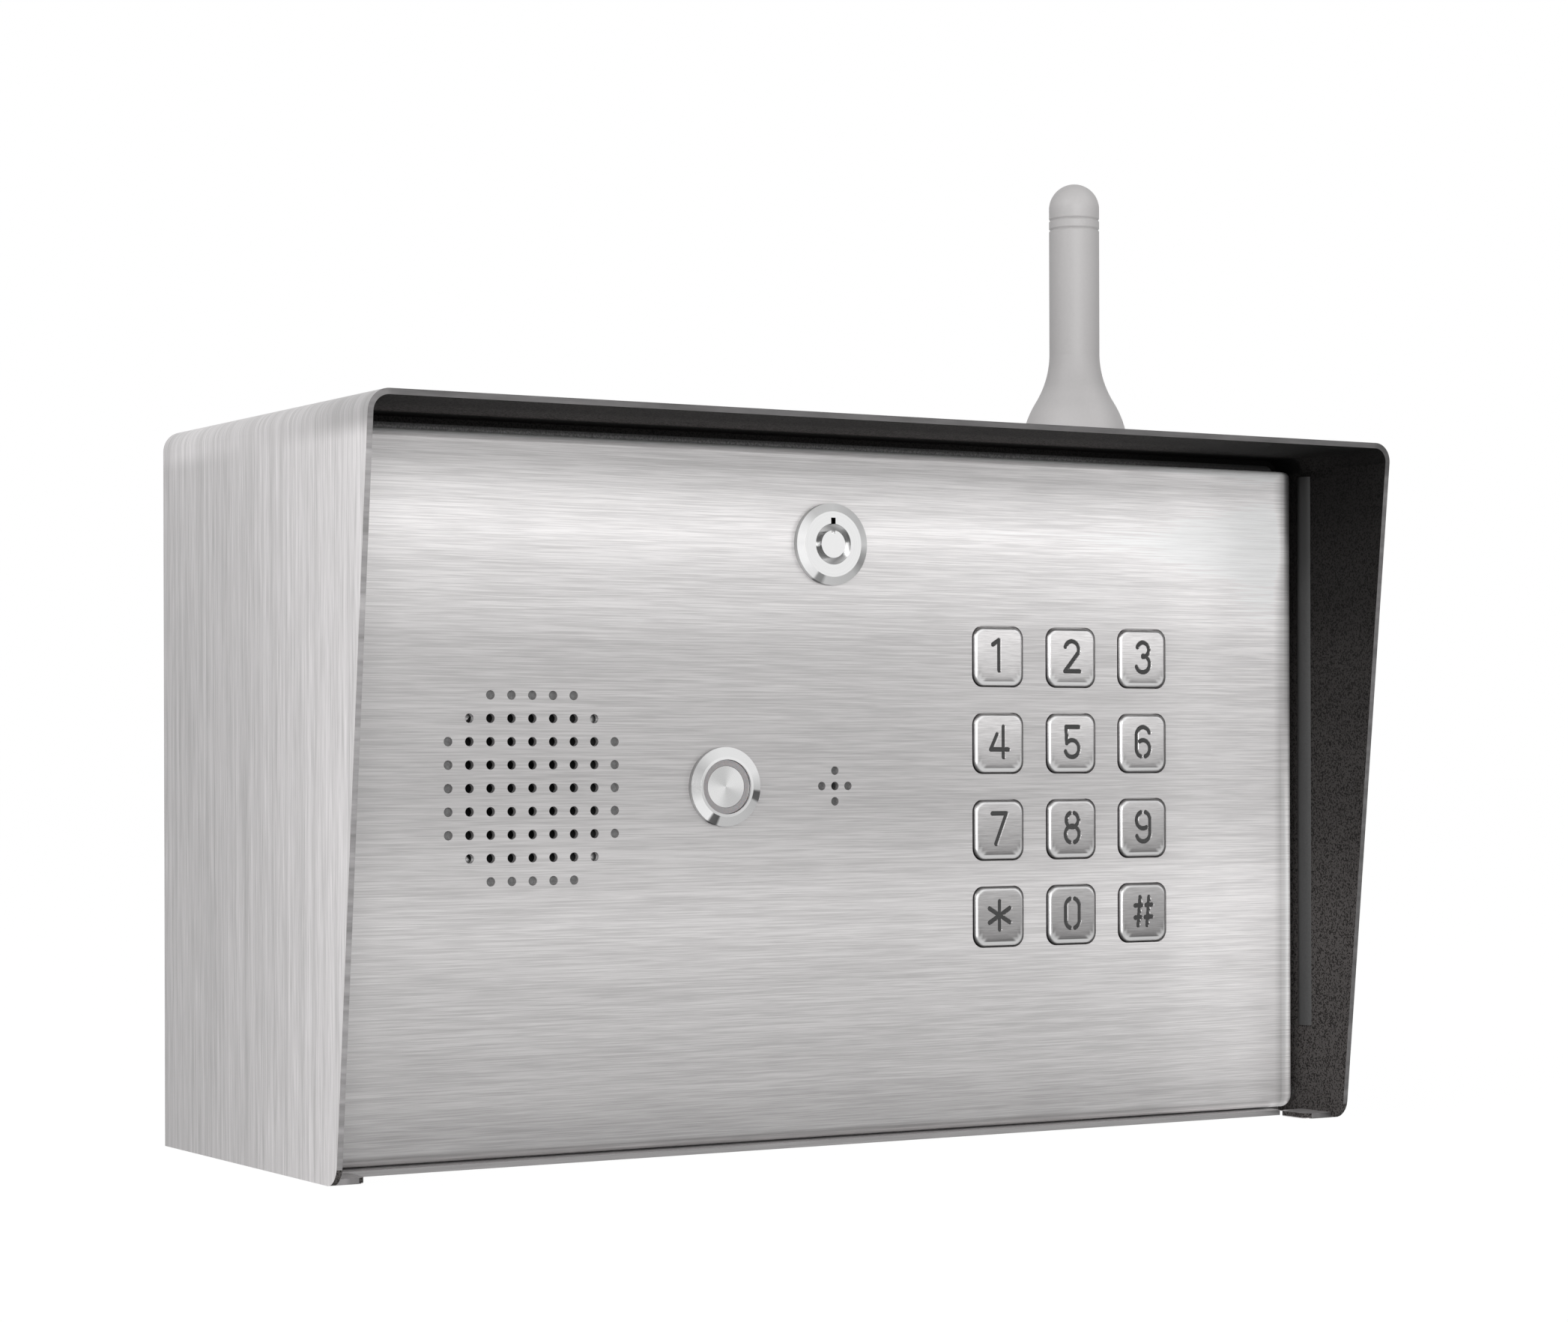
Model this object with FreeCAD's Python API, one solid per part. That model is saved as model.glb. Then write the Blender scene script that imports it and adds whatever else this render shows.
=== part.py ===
"""Gooseneck intercom: a hooded stainless box with a drop-down door and a stubby antenna.

X runs to the right, Y to the rear and Z up. The origin is under the middle of the whole, on the
face that the box stands on. Lengths are millimetres and angles degrees.
"""
import FreeCAD, Part
import math
import os

from FreeCAD import Vector

# Sheet and hood
sheet = 1.5
hood_width = 314.0
hood_height = 192.5
hood_bend = 5.5
case_depth = 94.5
reach_top = 40.5
reach_bottom = 20.0
wing_corner = 5.0
foot_width = 9.0
foot_length = 13.0
foot_corner = 3.0

# Box inside the hood
flange_width = 12.0
box_corner = 4.3
lip_lead = 1.5
corner_notch = 8.0
sill_foot = 14.0
sill_height = 12.0

# Door
door_gap_side = 1.75
door_gap_top = 3.8
door_gap_bottom = 0.4
door_thickness = 9.0
door_bend = 2.0
door_roll = 4.0
roll_return = 1.0
ear_radius = 5.0
door_frame_gap = 0.4
gasket_width = 8.0
gasket_fit = 0.3
gasket_lift = 2.5

# Door pivots
pivot_radius = 1.5
pivot_clearance = 0.05
pivot_length = 5.0
collar_radius = 2.8
collar_thickness = 1.4

# Rubber strips beside the door
strip_width = 6.0
strip_rise = 1.4
strip_gap = 0.2
strip_bottom = 26.0

# Speaker
face_lift = 0.25
speaker_inset = 60.15
speaker_pitch = 5.95
speaker_rows = 9
speaker_reach = 6
speaker_hole = 1.2
speaker_frame = 57.0
speaker_frame_corner = 6.0
speaker_window = 43.0
speaker_window_corner = 8.0
speaker_gasket_thickness = 1.0
speaker_plate = 1.2
basket_top = 25.6
basket_base = 17.0
basket_depth = 12.0
basket_wall = 1.0
cone_depth = 8.0
cone_wall = 0.6
cone_clearance = 0.3
dust_cap = 8.0
magnet_radius = 16.0
magnet_depth = 9.0
magnet_edge = 0.75
speaker_stud = 24.0

# Microphone
mic_share = 0.631
mic_pitch = 4.13
mic_hole = 1.15
boot_radius = 7.5
boot_depth = 7.0
boot_front_wall = 1.6
boot_throat = 1.4
mic_radius = 4.85
mic_depth = 5.0
mic_clearance = 0.3

# Call button
button_share = 0.281
bezel_radius = 10.5
bezel_rim = 1.5
bezel_rise = 2.2
bezel_flat = 7.9
ring_radius = 7.15
ring_sunk = 0.75
ring_depth = 4.0
disc_radius = 5.5
disc_sunk = 0.8
disc_length = 9.0
disc_travel = 1.5
disc_clearance = 0.08
button_barrel = 9.4
button_length = 26.0
button_floor = 4.0
button_hole_clearance = 0.15
button_nut_flats = 22.0
button_nut_thickness = 3.0
terminal_width = 2.8
terminal_thickness = 0.5
terminal_length = 7.0
terminal_offset = 4.5

# Cam lock
lock_x = -4.4
lock_drop = 25.7
lock_head = 11.0
lock_face = 8.8
lock_rim = 1.6
lock_rise = 2.2
keyway_outer = 5.5
keyway_post = 3.7
keyway_depth = 5.0
key_notch_width = 1.4
key_notch_height = 1.6
post_notch_width = 1.3
post_notch_depth = 0.8
lock_barrel = 9.4
lock_barrel_length = 10.0
lock_plug = 6.4
lock_clearance = 0.05
lock_hole_clearance = 0.15
lock_nut_flats = 22.0
lock_nut_thickness = 3.0
cam_gap = 0.6
cam_thickness = 2.0
cam_length = 24.0
cam_width = 14.0
tail_radius = 3.0
tail_length = 7.0
cam_nut_flats = 8.0
cam_nut_thickness = 3.0

# Keypad
keypad_inset = 79.05
keypad_drop = 0.25
key_pitch_x = 24.6
key_pitch_z = 24.0
key_columns = 3
key_rows = 4
key_opening = 17.0
key_opening_corner = 3.4
key_side_gap = 0.3
key_rise = 0.8
key_edge = 0.6
key_flange = 1.5
key_flange_thickness = 1.2
key_rest_gap = 0.1
key_stem = 3.0
key_travel = 1.0
key_stop_gap = 0.2
frame_margin_x = 16.5
frame_margin_z = 18.0
frame_depth = 5.0
pocket_gap = 0.5
dome_radius = 4.5
dome_height = 1.5
mat_thickness = 1.2
board_thickness = 1.6

# Studs and nuts behind the door
stud_radius = 1.5
stud_clearance = 0.2
stud_inset = 5.0
nut_flats = 5.5
nut_thickness = 2.4
stud_proud = 1.0
thread_clearance = 0.05

# Antenna
antenna_inset = 48.9
antenna_setback = 45.0
antenna_base = 15.7
antenna_edge = 2.0
antenna_rod = 7.4
antenna_flare = 27.4
antenna_bow = 0.94
antenna_height = 80.3
antenna_dome = 6.9
antenna_groove = 0.35
antenna_groove_top = 10.7
antenna_groove_pitch = 2.9
antenna_groove_width = 0.9
antenna_pad = 0.8
antenna_pad_inset = 0.8
antenna_stud = 5.0
antenna_stud_length = 12.0
antenna_stud_clearance = 0.25
antenna_nut_flats = 17.0
antenna_nut_thickness = 5.0
connector_radius = 3.2
connector_length = 8.0

# Rear mount
bolt_spacing_x = 76.2
bolt_spacing_z = 101.6
bolt_hole = 3.5
plate_margin = 14.0
plate_thickness = 3.0
cable_hole = 16.0
grommet_bore = 11.0
grommet_lip = 4.0
grommet_lip_thickness = 1.5
grommet_fit = 0.05

# Boards on the rear wall
board_margin_x = 10.0
board_margin_z = 26.25
board_gap = 7.9
board_inset = 5.0
standoff_radius = 3.0
standoff_height = 8.0
screw_radius = 1.5
screw_head = 2.8
screw_head_height = 2.0
screw_clearance = 0.15
screw_bite = 5.0
terminal_block_depth = 12.0
terminal_block_height = 14.0
terminal_ways = 8
terminal_pitch = 5.08
terminal_screw = 1.6
terminal_screw_sink = 1.0
relay_width = 15.0
relay_height = 19.0
relay_depth = 15.5
relay_gap = 4.0
relay_edge = 0.75
module_width = 30.0
module_height = 36.0
module_depth = 3.0
module_edge = 0.6
coax_radius = 3.0
coax_length = 6.0

rear_y = (case_depth + reach_top) / 2
door_y = rear_y - case_depth
panel_rear_y = door_y + sheet
door_rear_y = door_y + door_thickness
frame_y = door_rear_y + door_frame_gap
back_inner_y = rear_y - sheet
hood_inner_x = hood_width / 2 - sheet
hood_inner_z = hood_height - sheet
box_inner_x = hood_inner_x - sheet
box_inner_z = hood_inner_z - sheet
door_half = hood_inner_x - door_gap_side
door_bottom = sheet + door_gap_bottom
door_top = hood_inner_z - door_gap_top
axis_y = door_y + door_roll
axis_z = door_bottom + door_roll
middle_z = hood_height / 2
face_z = middle_z + face_lift
keypad_z = middle_z - keypad_drop
lock_z = door_top - lock_drop
speaker_x = speaker_inset - door_half
keypad_x = door_half - keypad_inset
antenna_x = hood_width / 2 - antenna_inset
keypad_width = (key_columns - 1) * key_pitch_x + 2 * frame_margin_x
keypad_height = (key_rows - 1) * key_pitch_z + 2 * frame_margin_z
between_x = speaker_x + speaker_frame / 2
between_width = keypad_x - keypad_width / 2 - between_x
button_x = between_x + button_share * between_width
mic_x = between_x + mic_share * between_width
plate_half_x = bolt_spacing_x / 2 + plate_margin
plate_half_z = bolt_spacing_z / 2 + plate_margin
board_width = box_inner_x - board_margin_x - plate_half_x - board_gap
board_height = hood_height - 2 * board_margin_z
board_x = box_inner_x - board_margin_x - board_width / 2


def block(x0, x1, y0, y1, z0, z1):
    return Part.makeBox(x1 - x0, y1 - y0, z1 - z0, Vector(x0, y0, z0))


def rod_x(y, z, radius, x0, x1):
    return Part.makeCylinder(radius, x1 - x0, Vector(x0, y, z), Vector(1, 0, 0))


def rod_y(x, z, radius, y0, y1):
    return Part.makeCylinder(radius, y1 - y0, Vector(x, y0, z), Vector(0, 1, 0))


def rod_z(x, y, radius, z0, z1):
    return Part.makeCylinder(radius, z1 - z0, Vector(x, y, z0))


def rounded_y(x, z, width, height, corner, y0, y1):
    """A bar along Y with a rounded rectangle for its section."""
    bar = block(x - width / 2, x + width / 2, y0, y1, z - height / 2, z + height / 2)
    return bar.makeFillet(corner, edges_along(bar, "y"))


def edges_along(shape, axis):
    """The straight edges of a shape that run along one axis."""
    along = {"x": Vector(1, 0, 0), "y": Vector(0, 1, 0), "z": Vector(0, 0, 1)}[axis]
    return [
        edge
        for edge in shape.Edges
        if isinstance(edge.Curve, Part.Line)
        and edge.tangentAt(edge.FirstParameter).cross(along).Length < 1e-6
    ]


def edges_at(edges, axis, value):
    """Those of the edges whose middle lies at one value along an axis."""
    return [edge for edge in edges if abs(getattr(edge.CenterOfMass, axis) - value) < 1e-6]


def turned(points, centre, axis):
    """A solid of revolution: points are (radius, distance along the axis) round a closed outline."""
    side = Vector(1, 0, 0)
    corners = [centre + side * radius + axis * along for radius, along in points]
    face = Part.Face(Part.makePolygon(corners + [corners[0]]))
    return face.revolve(centre, axis, 360)


def turned_y(points, x, z):
    return turned(points, Vector(x, 0, z), Vector(0, 1, 0))


def hexagon_y(x, z, flats, bore, y0, y1):
    """A hexagon nut along Y, with its bore."""
    corner = flats / math.sqrt(3)
    points = [
        Vector(x + corner * math.cos(math.radians(60 * k)), y0, z + corner * math.sin(math.radians(60 * k)))
        for k in range(6)
    ]
    nut = Part.Face(Part.makePolygon(points + [points[0]])).extrude(Vector(0, y1 - y0, 0))
    return nut.cut(rod_y(x, z, bore, y0 - 1, y1 + 1))


def grid(columns, rows, pitch_x, pitch_z):
    """The places of a centred grid, row by row from the top left."""
    return [
        ((column - (columns - 1) / 2) * pitch_x, ((rows - 1) / 2 - row) * pitch_z)
        for row in range(rows)
        for column in range(columns)
    ]


def side_profile(x0, x1):
    """The hood's outline from the side, drawn across X: a raked front with a rounded lower corner."""
    top_front = door_y - reach_top
    foot_front = door_y - reach_bottom
    rake = math.atan2(reach_top - reach_bottom, hood_height)
    start = Vector(x0, foot_front - wing_corner * math.sin(rake), wing_corner * math.cos(rake))
    end = Vector(x0, foot_front + wing_corner, 0)
    bulge = wing_corner * (1 - math.sqrt(0.5))
    bend = Vector(x0, foot_front + bulge, bulge)
    rear_foot = Vector(x0, rear_y, 0)
    rear_top = Vector(x0, rear_y, hood_height)
    corners = [end, rear_foot, rear_top, Vector(x0, top_front, hood_height), start]
    edges = [Part.LineSegment(a, b).toShape() for a, b in zip(corners, corners[1:])]
    edges.append(Part.Arc(start, bend, end).toShape())
    return Part.Face(Part.Wire(edges)).extrude(Vector(x1 - x0, 0, 0))


def hood_shell(half_width, top, corner):
    """The space under an inverted U whose two upper edges are rounded."""
    front = door_y - reach_top
    body = block(-half_width, half_width, front, rear_y, -hood_height, top)
    return body.makeFillet(corner, edges_at(edges_along(body, "y"), "z", top))


def hood_cover():
    """One folded sheet: two wings and a top, raked at the front, with small turned-in feet."""
    outer = hood_shell(hood_width / 2, hood_height, hood_bend)
    inner = hood_shell(hood_inner_x, hood_inner_z, hood_bend - sheet)
    hood = outer.cut(inner).common(side_profile(-hood_width / 2, hood_width / 2))
    foot_rear = door_y - lip_lead - door_gap_bottom
    for side in (-1, 1):
        inside = side * (hood_inner_x - foot_width)
        outside = side * hood_inner_x
        foot = block(
            min(inside, outside), max(inside, outside), foot_rear - foot_length, foot_rear, 0, sheet
        )
        corners = edges_at(edges_along(foot, "z"), "x", inside)
        hood = hood.fuse(foot.makeFillet(foot_corner, corners))
    hood = hood.cut(antenna_bore())
    return hood.removeSplitter()


def antenna_y():
    return door_y + antenna_setback


def antenna_bore():
    radius = antenna_stud + antenna_stud_clearance
    return rod_z(antenna_x, antenna_y(), radius, box_inner_z - 1, hood_height + 1)


def rear_openings(y0, y1):
    """The four bolt holes and the cable hole of the rear mount."""
    holes = [
        rod_y(x, middle_z + z, bolt_hole, y0, y1) for x, z in grid(2, 2, bolt_spacing_x, bolt_spacing_z)
    ]
    holes.append(rod_y(0, middle_z, cable_hole, y0, y1))
    return Part.makeCompound(holes)


def box_inside(y0, y1):
    """The space inside the box's walls."""
    hollow = block(-box_inner_x, box_inner_x, y0, y1, sheet, box_inner_z)
    return hollow.makeFillet(box_corner - sheet, edges_at(edges_along(hollow, "y"), "z", box_inner_z))


def back_box():
    """A folded tray: rear wall, two sides, top and a floor that reaches the door."""
    tray = block(-hood_inner_x, hood_inner_x, frame_y, rear_y, 0, hood_inner_z)
    tray = tray.makeFillet(box_corner, edges_at(edges_along(tray, "y"), "z", hood_inner_z))
    lip_half = hood_inner_x - corner_notch
    lip = block(-lip_half, lip_half, door_y - lip_lead, frame_y, 0, sheet)
    tray = tray.cut(box_inside(frame_y - 1, back_inner_y)).fuse(lip)
    tray = tray.cut(rear_openings(back_inner_y - 1, rear_y + 1)).cut(antenna_bore())
    return tray.removeSplitter()


def box_flange():
    """The frame welded into the box's mouth, which the door's gasket and the lock's cam meet."""
    mouth = block(
        flange_width - box_inner_x, box_inner_x - flange_width, frame_y - 1, frame_y + sheet + 1,
        0, box_inner_z - flange_width
    )
    return box_inside(frame_y, frame_y + sheet).cut(mouth)


def sill_angle():
    """The angle on the floor that closes the frame below the door's gasket."""
    half = box_inner_x - flange_width
    foot = block(-half, half, frame_y, frame_y + sill_foot, sheet, 2 * sheet)
    upright = block(-half, half, frame_y, frame_y + sheet, sheet, sheet + sill_height)
    return foot.fuse(upright).removeSplitter()


def side_strips():
    """Two rubber strips of D section on the wings, just ahead of the door's edges."""
    strips = []
    rear = door_y - strip_gap
    top = hood_inner_z - hood_bend
    for side in (-1, 1):
        seat = side * hood_inner_x
        crest = side * (hood_inner_x - strip_rise)
        back = Vector(seat, rear, strip_bottom)
        front = Vector(seat, rear - strip_width, strip_bottom)
        chord = Part.LineSegment(back, front)
        bulge = Part.Arc(front, Vector(crest, rear - strip_width / 2, strip_bottom), back)
        face = Part.Face(Part.Wire([chord.toShape(), bulge.toShape()]))
        strips.append(face.extrude(Vector(0, 0, top - strip_bottom)))
    return Part.makeCompound(strips)


def pivot_pins():
    """Two collared pins on the wings' inner faces, on which the door's ears turn."""
    pins = []
    for side in (-1, 1):
        wall = side * hood_inner_x
        shaft_end = wall - side * pivot_length
        collar_end = wall - side * collar_thickness
        shaft = rod_x(axis_y, axis_z, pivot_radius, min(wall, shaft_end), max(wall, shaft_end))
        collar = rod_x(axis_y, axis_z, collar_radius, min(wall, collar_end), max(wall, collar_end))
        pins.append(shaft.fuse(collar).removeSplitter())
    return Part.makeCompound(pins)


def speaker_holes():
    """Round grille: the points of a square grid that lie within its cut-off corners."""
    points = [
        (x, z)
        for x, z in grid(speaker_rows, speaker_rows, speaker_pitch, speaker_pitch)
        if abs(x) + abs(z) < (speaker_reach + 0.5) * speaker_pitch
    ]
    return [
        rod_y(speaker_x + x, face_z + z, speaker_hole, door_y - 1, panel_rear_y + 1) for x, z in points
    ]


def mic_holes():
    places = [(0, 0), (1, 0), (-1, 0), (0, 1), (0, -1)]
    return [
        rod_y(mic_x + i * mic_pitch, face_z + j * mic_pitch, mic_hole, door_y - 1, panel_rear_y + 1)
        for i, j in places
    ]


def key_places():
    return [(keypad_x + x, keypad_z + z) for x, z in grid(key_columns, key_rows, key_pitch_x, key_pitch_z)]


def speaker_stud_places():
    return [(speaker_x + x, face_z + z) for x, z in grid(2, 2, 2 * speaker_stud, 2 * speaker_stud)]


def keypad_stud_places():
    pitch_x = keypad_width - 2 * stud_inset
    pitch_z = keypad_height - 2 * stud_inset
    return [(keypad_x + x, keypad_z + z) for x, z in grid(2, 2, pitch_x, pitch_z)]


def speaker_stack():
    return speaker_gasket_thickness + speaker_plate


def keypad_stack():
    return frame_depth + mat_thickness + board_thickness


def door_panel():
    """The folded door: returns on three sides, a rolled lower edge with pivot ears, holes and studs."""
    outer = block(-door_half, door_half, door_y, door_rear_y, door_bottom, door_top)
    outer = outer.makeFillet(door_bend, edges_at(edges_along(outer, "y"), "z", door_top))
    inner = block(
        sheet - door_half, door_half - sheet, panel_rear_y, door_rear_y + 1,
        door_bottom + sheet, door_top - sheet
    )
    roll = edges_at(edges_at(edges_along(outer, "x"), "y", door_y), "z", door_bottom)
    outer = outer.makeFillet(door_roll, roll)
    bends = edges_at(edges_along(outer, "z"), "y", door_y)
    outer = outer.makeFillet(door_bend, bends)
    inner_roll = edges_at(edges_at(edges_along(inner, "x"), "y", panel_rear_y), "z", door_bottom + sheet)
    inner = inner.makeFillet(door_roll - sheet, inner_roll)
    panel = outer.cut(inner)
    panel = panel.cut(
        block(-door_half - 1, door_half + 1, axis_y + roll_return, door_rear_y + 1, door_bottom - 1,
              door_bottom + sheet)
    )
    ear_corner = block(-door_half - 1, door_half + 1, axis_y, door_rear_y + 1, door_bottom - 1, axis_z)
    panel = panel.cut(ear_corner.cut(rod_x(axis_y, axis_z, ear_radius, -door_half - 2, door_half + 2)))
    hole = rod_x(axis_y, axis_z, pivot_radius + pivot_clearance, -door_half - 1, door_half + 1)
    cuts = [hole]
    cuts += speaker_holes()
    cuts += mic_holes()
    for x, z in key_places():
        cuts.append(
            rounded_y(x, z, key_opening, key_opening, key_opening_corner, door_y - 1, panel_rear_y + 1)
        )
    cuts.append(
        rod_y(button_x, face_z, button_barrel + button_hole_clearance, door_y - 1, panel_rear_y + 1)
    )
    cuts.append(rod_y(lock_x, lock_z, lock_barrel + lock_hole_clearance, door_y - 1, panel_rear_y + 1))
    panel = panel.cut(Part.makeCompound(cuts))
    studs = []
    for places, stack in ((speaker_stud_places(), speaker_stack()), (keypad_stud_places(), keypad_stack())):
        length = stack + nut_thickness + stud_proud
        studs += [rod_y(x, z, stud_radius, panel_rear_y, panel_rear_y + length) for x, z in places]
    return panel.fuse(studs).removeSplitter()


def door_gasket():
    """A foam frame inside the door's returns, which meets the box's flange."""
    half = door_half - sheet - gasket_fit
    bottom = axis_z + gasket_lift
    top = door_top - sheet - gasket_fit
    ring = block(-half, half, panel_rear_y, door_rear_y, bottom, top)
    mouth = block(
        gasket_width - half, half - gasket_width, panel_rear_y - 1, door_rear_y + 1,
        bottom + gasket_width, top - gasket_width
    )
    return ring.cut(mouth)


def speaker_gasket():
    y0 = panel_rear_y
    y1 = y0 + speaker_gasket_thickness
    pad = rounded_y(speaker_x, face_z, speaker_frame, speaker_frame, speaker_frame_corner, y0, y1)
    window = rounded_y(
        speaker_x, face_z, speaker_window, speaker_window, speaker_window_corner, y0 - 1, y1 + 1
    )
    return pad.cut(window).cut(stud_clearance_holes(speaker_stud_places(), y0, y1))


def stud_clearance_holes(places, y0, y1):
    radius = stud_radius + stud_clearance
    return Part.makeCompound([rod_y(x, z, radius, y0 - 1, y1 + 1) for x, z in places])


def basket_floor_y():
    return panel_rear_y + speaker_stack() + basket_depth


def speaker_basket():
    """Pressed frame: a square flange, a tapered bowl with four windows and a floor for the magnet."""
    y0 = panel_rear_y + speaker_gasket_thickness
    y1 = y0 + speaker_plate
    floor = basket_floor_y()
    flange = rounded_y(speaker_x, face_z, speaker_frame, speaker_frame, speaker_frame_corner, y0, y1)
    bowl = turned_y(
        [(0, y0), (basket_top, y0), (basket_top, y1), (basket_base, floor), (0, floor)], speaker_x, face_z
    )
    hollow = turned_y(
        [
            (0, y0 - 1),
            (basket_top - basket_wall, y0 - 1),
            (basket_top - basket_wall, y1),
            (basket_base - basket_wall, floor - basket_wall),
            (0, floor - basket_wall),
        ],
        speaker_x, face_z
    )
    basket = flange.fuse(bowl).cut(hollow)
    window_y0 = y1 + basket_wall
    window_y1 = floor - 2 * basket_wall
    reach = speaker_frame / 2
    for angle in (45, 135):
        slot = block(-reach, reach, window_y0, window_y1, -basket_base / 2, basket_base / 2)
        slot.rotate(Vector(0, 0, 0), Vector(0, 1, 0), angle)
        slot.translate(Vector(speaker_x, 0, face_z))
        basket = basket.cut(slot)
    basket = basket.cut(stud_clearance_holes(speaker_stud_places(), y0, y1))
    return basket.removeSplitter()


def speaker_cone():
    """Paper cone with a domed dust cap, one thin turned shell."""
    y0 = panel_rear_y + speaker_gasket_thickness + cone_clearance
    rim = basket_top - basket_wall - cone_clearance
    deep = y0 + cone_depth
    points = [
        (rim, y0),
        (rim, y0 + cone_wall),
        (dust_cap, deep + cone_wall),
        (0, deep + cone_wall),
        (0, deep - dust_cap / 3),
        (dust_cap / 2, deep - dust_cap / 4),
        (dust_cap, deep),
    ]
    return turned_y(points, speaker_x, face_z)


def speaker_magnet():
    y0 = basket_floor_y()
    body = rod_y(speaker_x, face_z, magnet_radius, y0, y0 + magnet_depth)
    rims = [edge for edge in body.Edges if isinstance(edge.Curve, Part.Circle)]
    return body.makeChamfer(magnet_edge, rims)


def nuts(places, stack):
    y0 = panel_rear_y + stack
    bore = stud_radius + thread_clearance
    return Part.makeCompound(
        [hexagon_y(x, z, nut_flats, bore, y0, y0 + nut_thickness) for x, z in places]
    )


def mic_boot():
    """Rubber cup on the panel's rear, with one throat behind the middle hole."""
    y0 = panel_rear_y
    seat = y0 + boot_front_wall
    body = rod_y(mic_x, face_z, boot_radius, y0, y0 + boot_depth)
    pocket = rod_y(mic_x, face_z, mic_radius, seat, y0 + boot_depth + 1)
    throat = rod_y(mic_x, face_z, boot_throat, y0 - 1, seat + 1)
    return body.cut(pocket).cut(throat)


def mic_capsule():
    seat = panel_rear_y + boot_front_wall
    body = rod_y(mic_x, face_z, mic_radius - mic_clearance, seat, seat + mic_depth)
    port = rod_y(mic_x, face_z, boot_throat / 2, seat - 1, seat + 1)
    return body.cut(port)


def button_front():
    return door_y - bezel_rise


def button_body():
    """Turned body: bevelled bezel on the panel, stepped bore, threaded barrel and rear terminals."""
    front = button_front()
    ring_seat = front + ring_sunk + ring_depth
    rear = door_y + button_length
    floor = rear - button_floor
    bore = disc_radius + disc_clearance
    points = [
        (ring_radius + disc_clearance, front),
        (bezel_flat, front),
        (bezel_radius, door_y - bezel_rim),
        (bezel_radius, door_y),
        (button_barrel, door_y),
        (button_barrel, rear),
        (0, rear),
        (0, floor),
        (bore, floor),
        (bore, ring_seat),
        (ring_radius + disc_clearance, ring_seat),
    ]
    body = turned_y(points, button_x, face_z)
    half_x = terminal_width / 2
    half_z = terminal_thickness / 2
    for dx, dz in grid(2, 2, 2 * terminal_offset, 2 * terminal_offset):
        x = button_x + dx
        z = face_z + dz
        body = body.fuse(block(x - half_x, x + half_x, rear, rear + terminal_length, z - half_z, z + half_z))
    return body.removeSplitter()


def button_ring():
    """Clear light guide between the bezel and the pressed disc."""
    y0 = button_front() + ring_sunk
    outer = rod_y(button_x, face_z, ring_radius, y0, y0 + ring_depth)
    return outer.cut(rod_y(button_x, face_z, disc_radius + disc_clearance, y0 - 1, y0 + ring_depth + 1))


def button_disc():
    """The pressed disc and its plunger; its front has a shallow spun cone."""
    y0 = button_front() + disc_sunk
    y1 = y0 + disc_length
    points = [(0, y0 + disc_clearance), (disc_radius, y0), (disc_radius, y1), (0, y1)]
    return turned_y(points, button_x, face_z)


def button_nut():
    bore = button_barrel + thread_clearance
    return hexagon_y(
        button_x, face_z, button_nut_flats, bore, panel_rear_y, panel_rear_y + button_nut_thickness
    )


def lock_rear_y():
    return panel_rear_y + lock_barrel_length


def lock_shell():
    """Turned lock body: bevelled head, annular keyway with its notch, and threaded barrel."""
    front = door_y - lock_rise
    shoulder = front + keyway_depth
    points = [
        (keyway_outer, front),
        (lock_face, front),
        (lock_head, door_y - lock_rim),
        (lock_head, door_y),
        (lock_barrel, door_y),
        (lock_barrel, lock_rear_y()),
        (lock_plug + lock_clearance, lock_rear_y()),
        (lock_plug + lock_clearance, shoulder),
        (keyway_outer, shoulder),
    ]
    shell = turned_y(points, lock_x, lock_z)
    notch = block(
        lock_x - key_notch_width / 2, lock_x + key_notch_width / 2, front - 1, shoulder - 1,
        lock_z, lock_z + keyway_outer + key_notch_height
    )
    return shell.cut(notch)


def lock_spindle():
    """The part that the key turns: centre post, plug and the threaded tail behind it."""
    front = door_y - lock_rise
    shoulder = front + keyway_depth
    rear = cam_y() + tail_length
    points = [
        (0, front),
        (keyway_post, front),
        (keyway_post, shoulder + lock_clearance),
        (lock_plug, shoulder + lock_clearance),
        (lock_plug, lock_rear_y()),
        (tail_radius, lock_rear_y()),
        (tail_radius, rear),
        (0, rear),
    ]
    spindle = turned_y(points, lock_x, lock_z)
    notch = block(
        lock_x - post_notch_width / 2, lock_x + post_notch_width / 2, front - 1, shoulder - 1,
        lock_z + keyway_post - post_notch_depth, lock_z + keyway_outer
    )
    return spindle.cut(notch)


def cam_y():
    """The cam's front face: just behind the box's flange."""
    return frame_y + sheet + cam_gap


def lock_cam():
    """Flat cam that points sideways when unlocked; its hub carries it from the plug to its own plane."""
    y0 = cam_y()
    y1 = y0 + cam_thickness
    half = cam_width / 2
    hub = rod_y(lock_x, lock_z, half, min(lock_rear_y(), y0), y1)
    arm = block(lock_x, lock_x + cam_length - half, y0, y1, lock_z - half, lock_z + half)
    tip = rod_y(lock_x + cam_length - half, lock_z, half, y0, y1)
    cam = hub.fuse(arm).fuse(tip).removeSplitter()
    return cam.cut(rod_y(lock_x, lock_z, tail_radius + thread_clearance, lock_rear_y() - 1, y1 + 1))


def cam_nut():
    y0 = cam_y() + cam_thickness
    return hexagon_y(
        lock_x, lock_z, cam_nut_flats, tail_radius + thread_clearance, y0, y0 + cam_nut_thickness
    )


def lock_nut():
    bore = lock_barrel + thread_clearance
    return hexagon_y(lock_x, lock_z, lock_nut_flats, bore, panel_rear_y, panel_rear_y + lock_nut_thickness)


def key_stop_y():
    """The front of the mat's domes."""
    return panel_rear_y + frame_depth - dome_height


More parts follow.
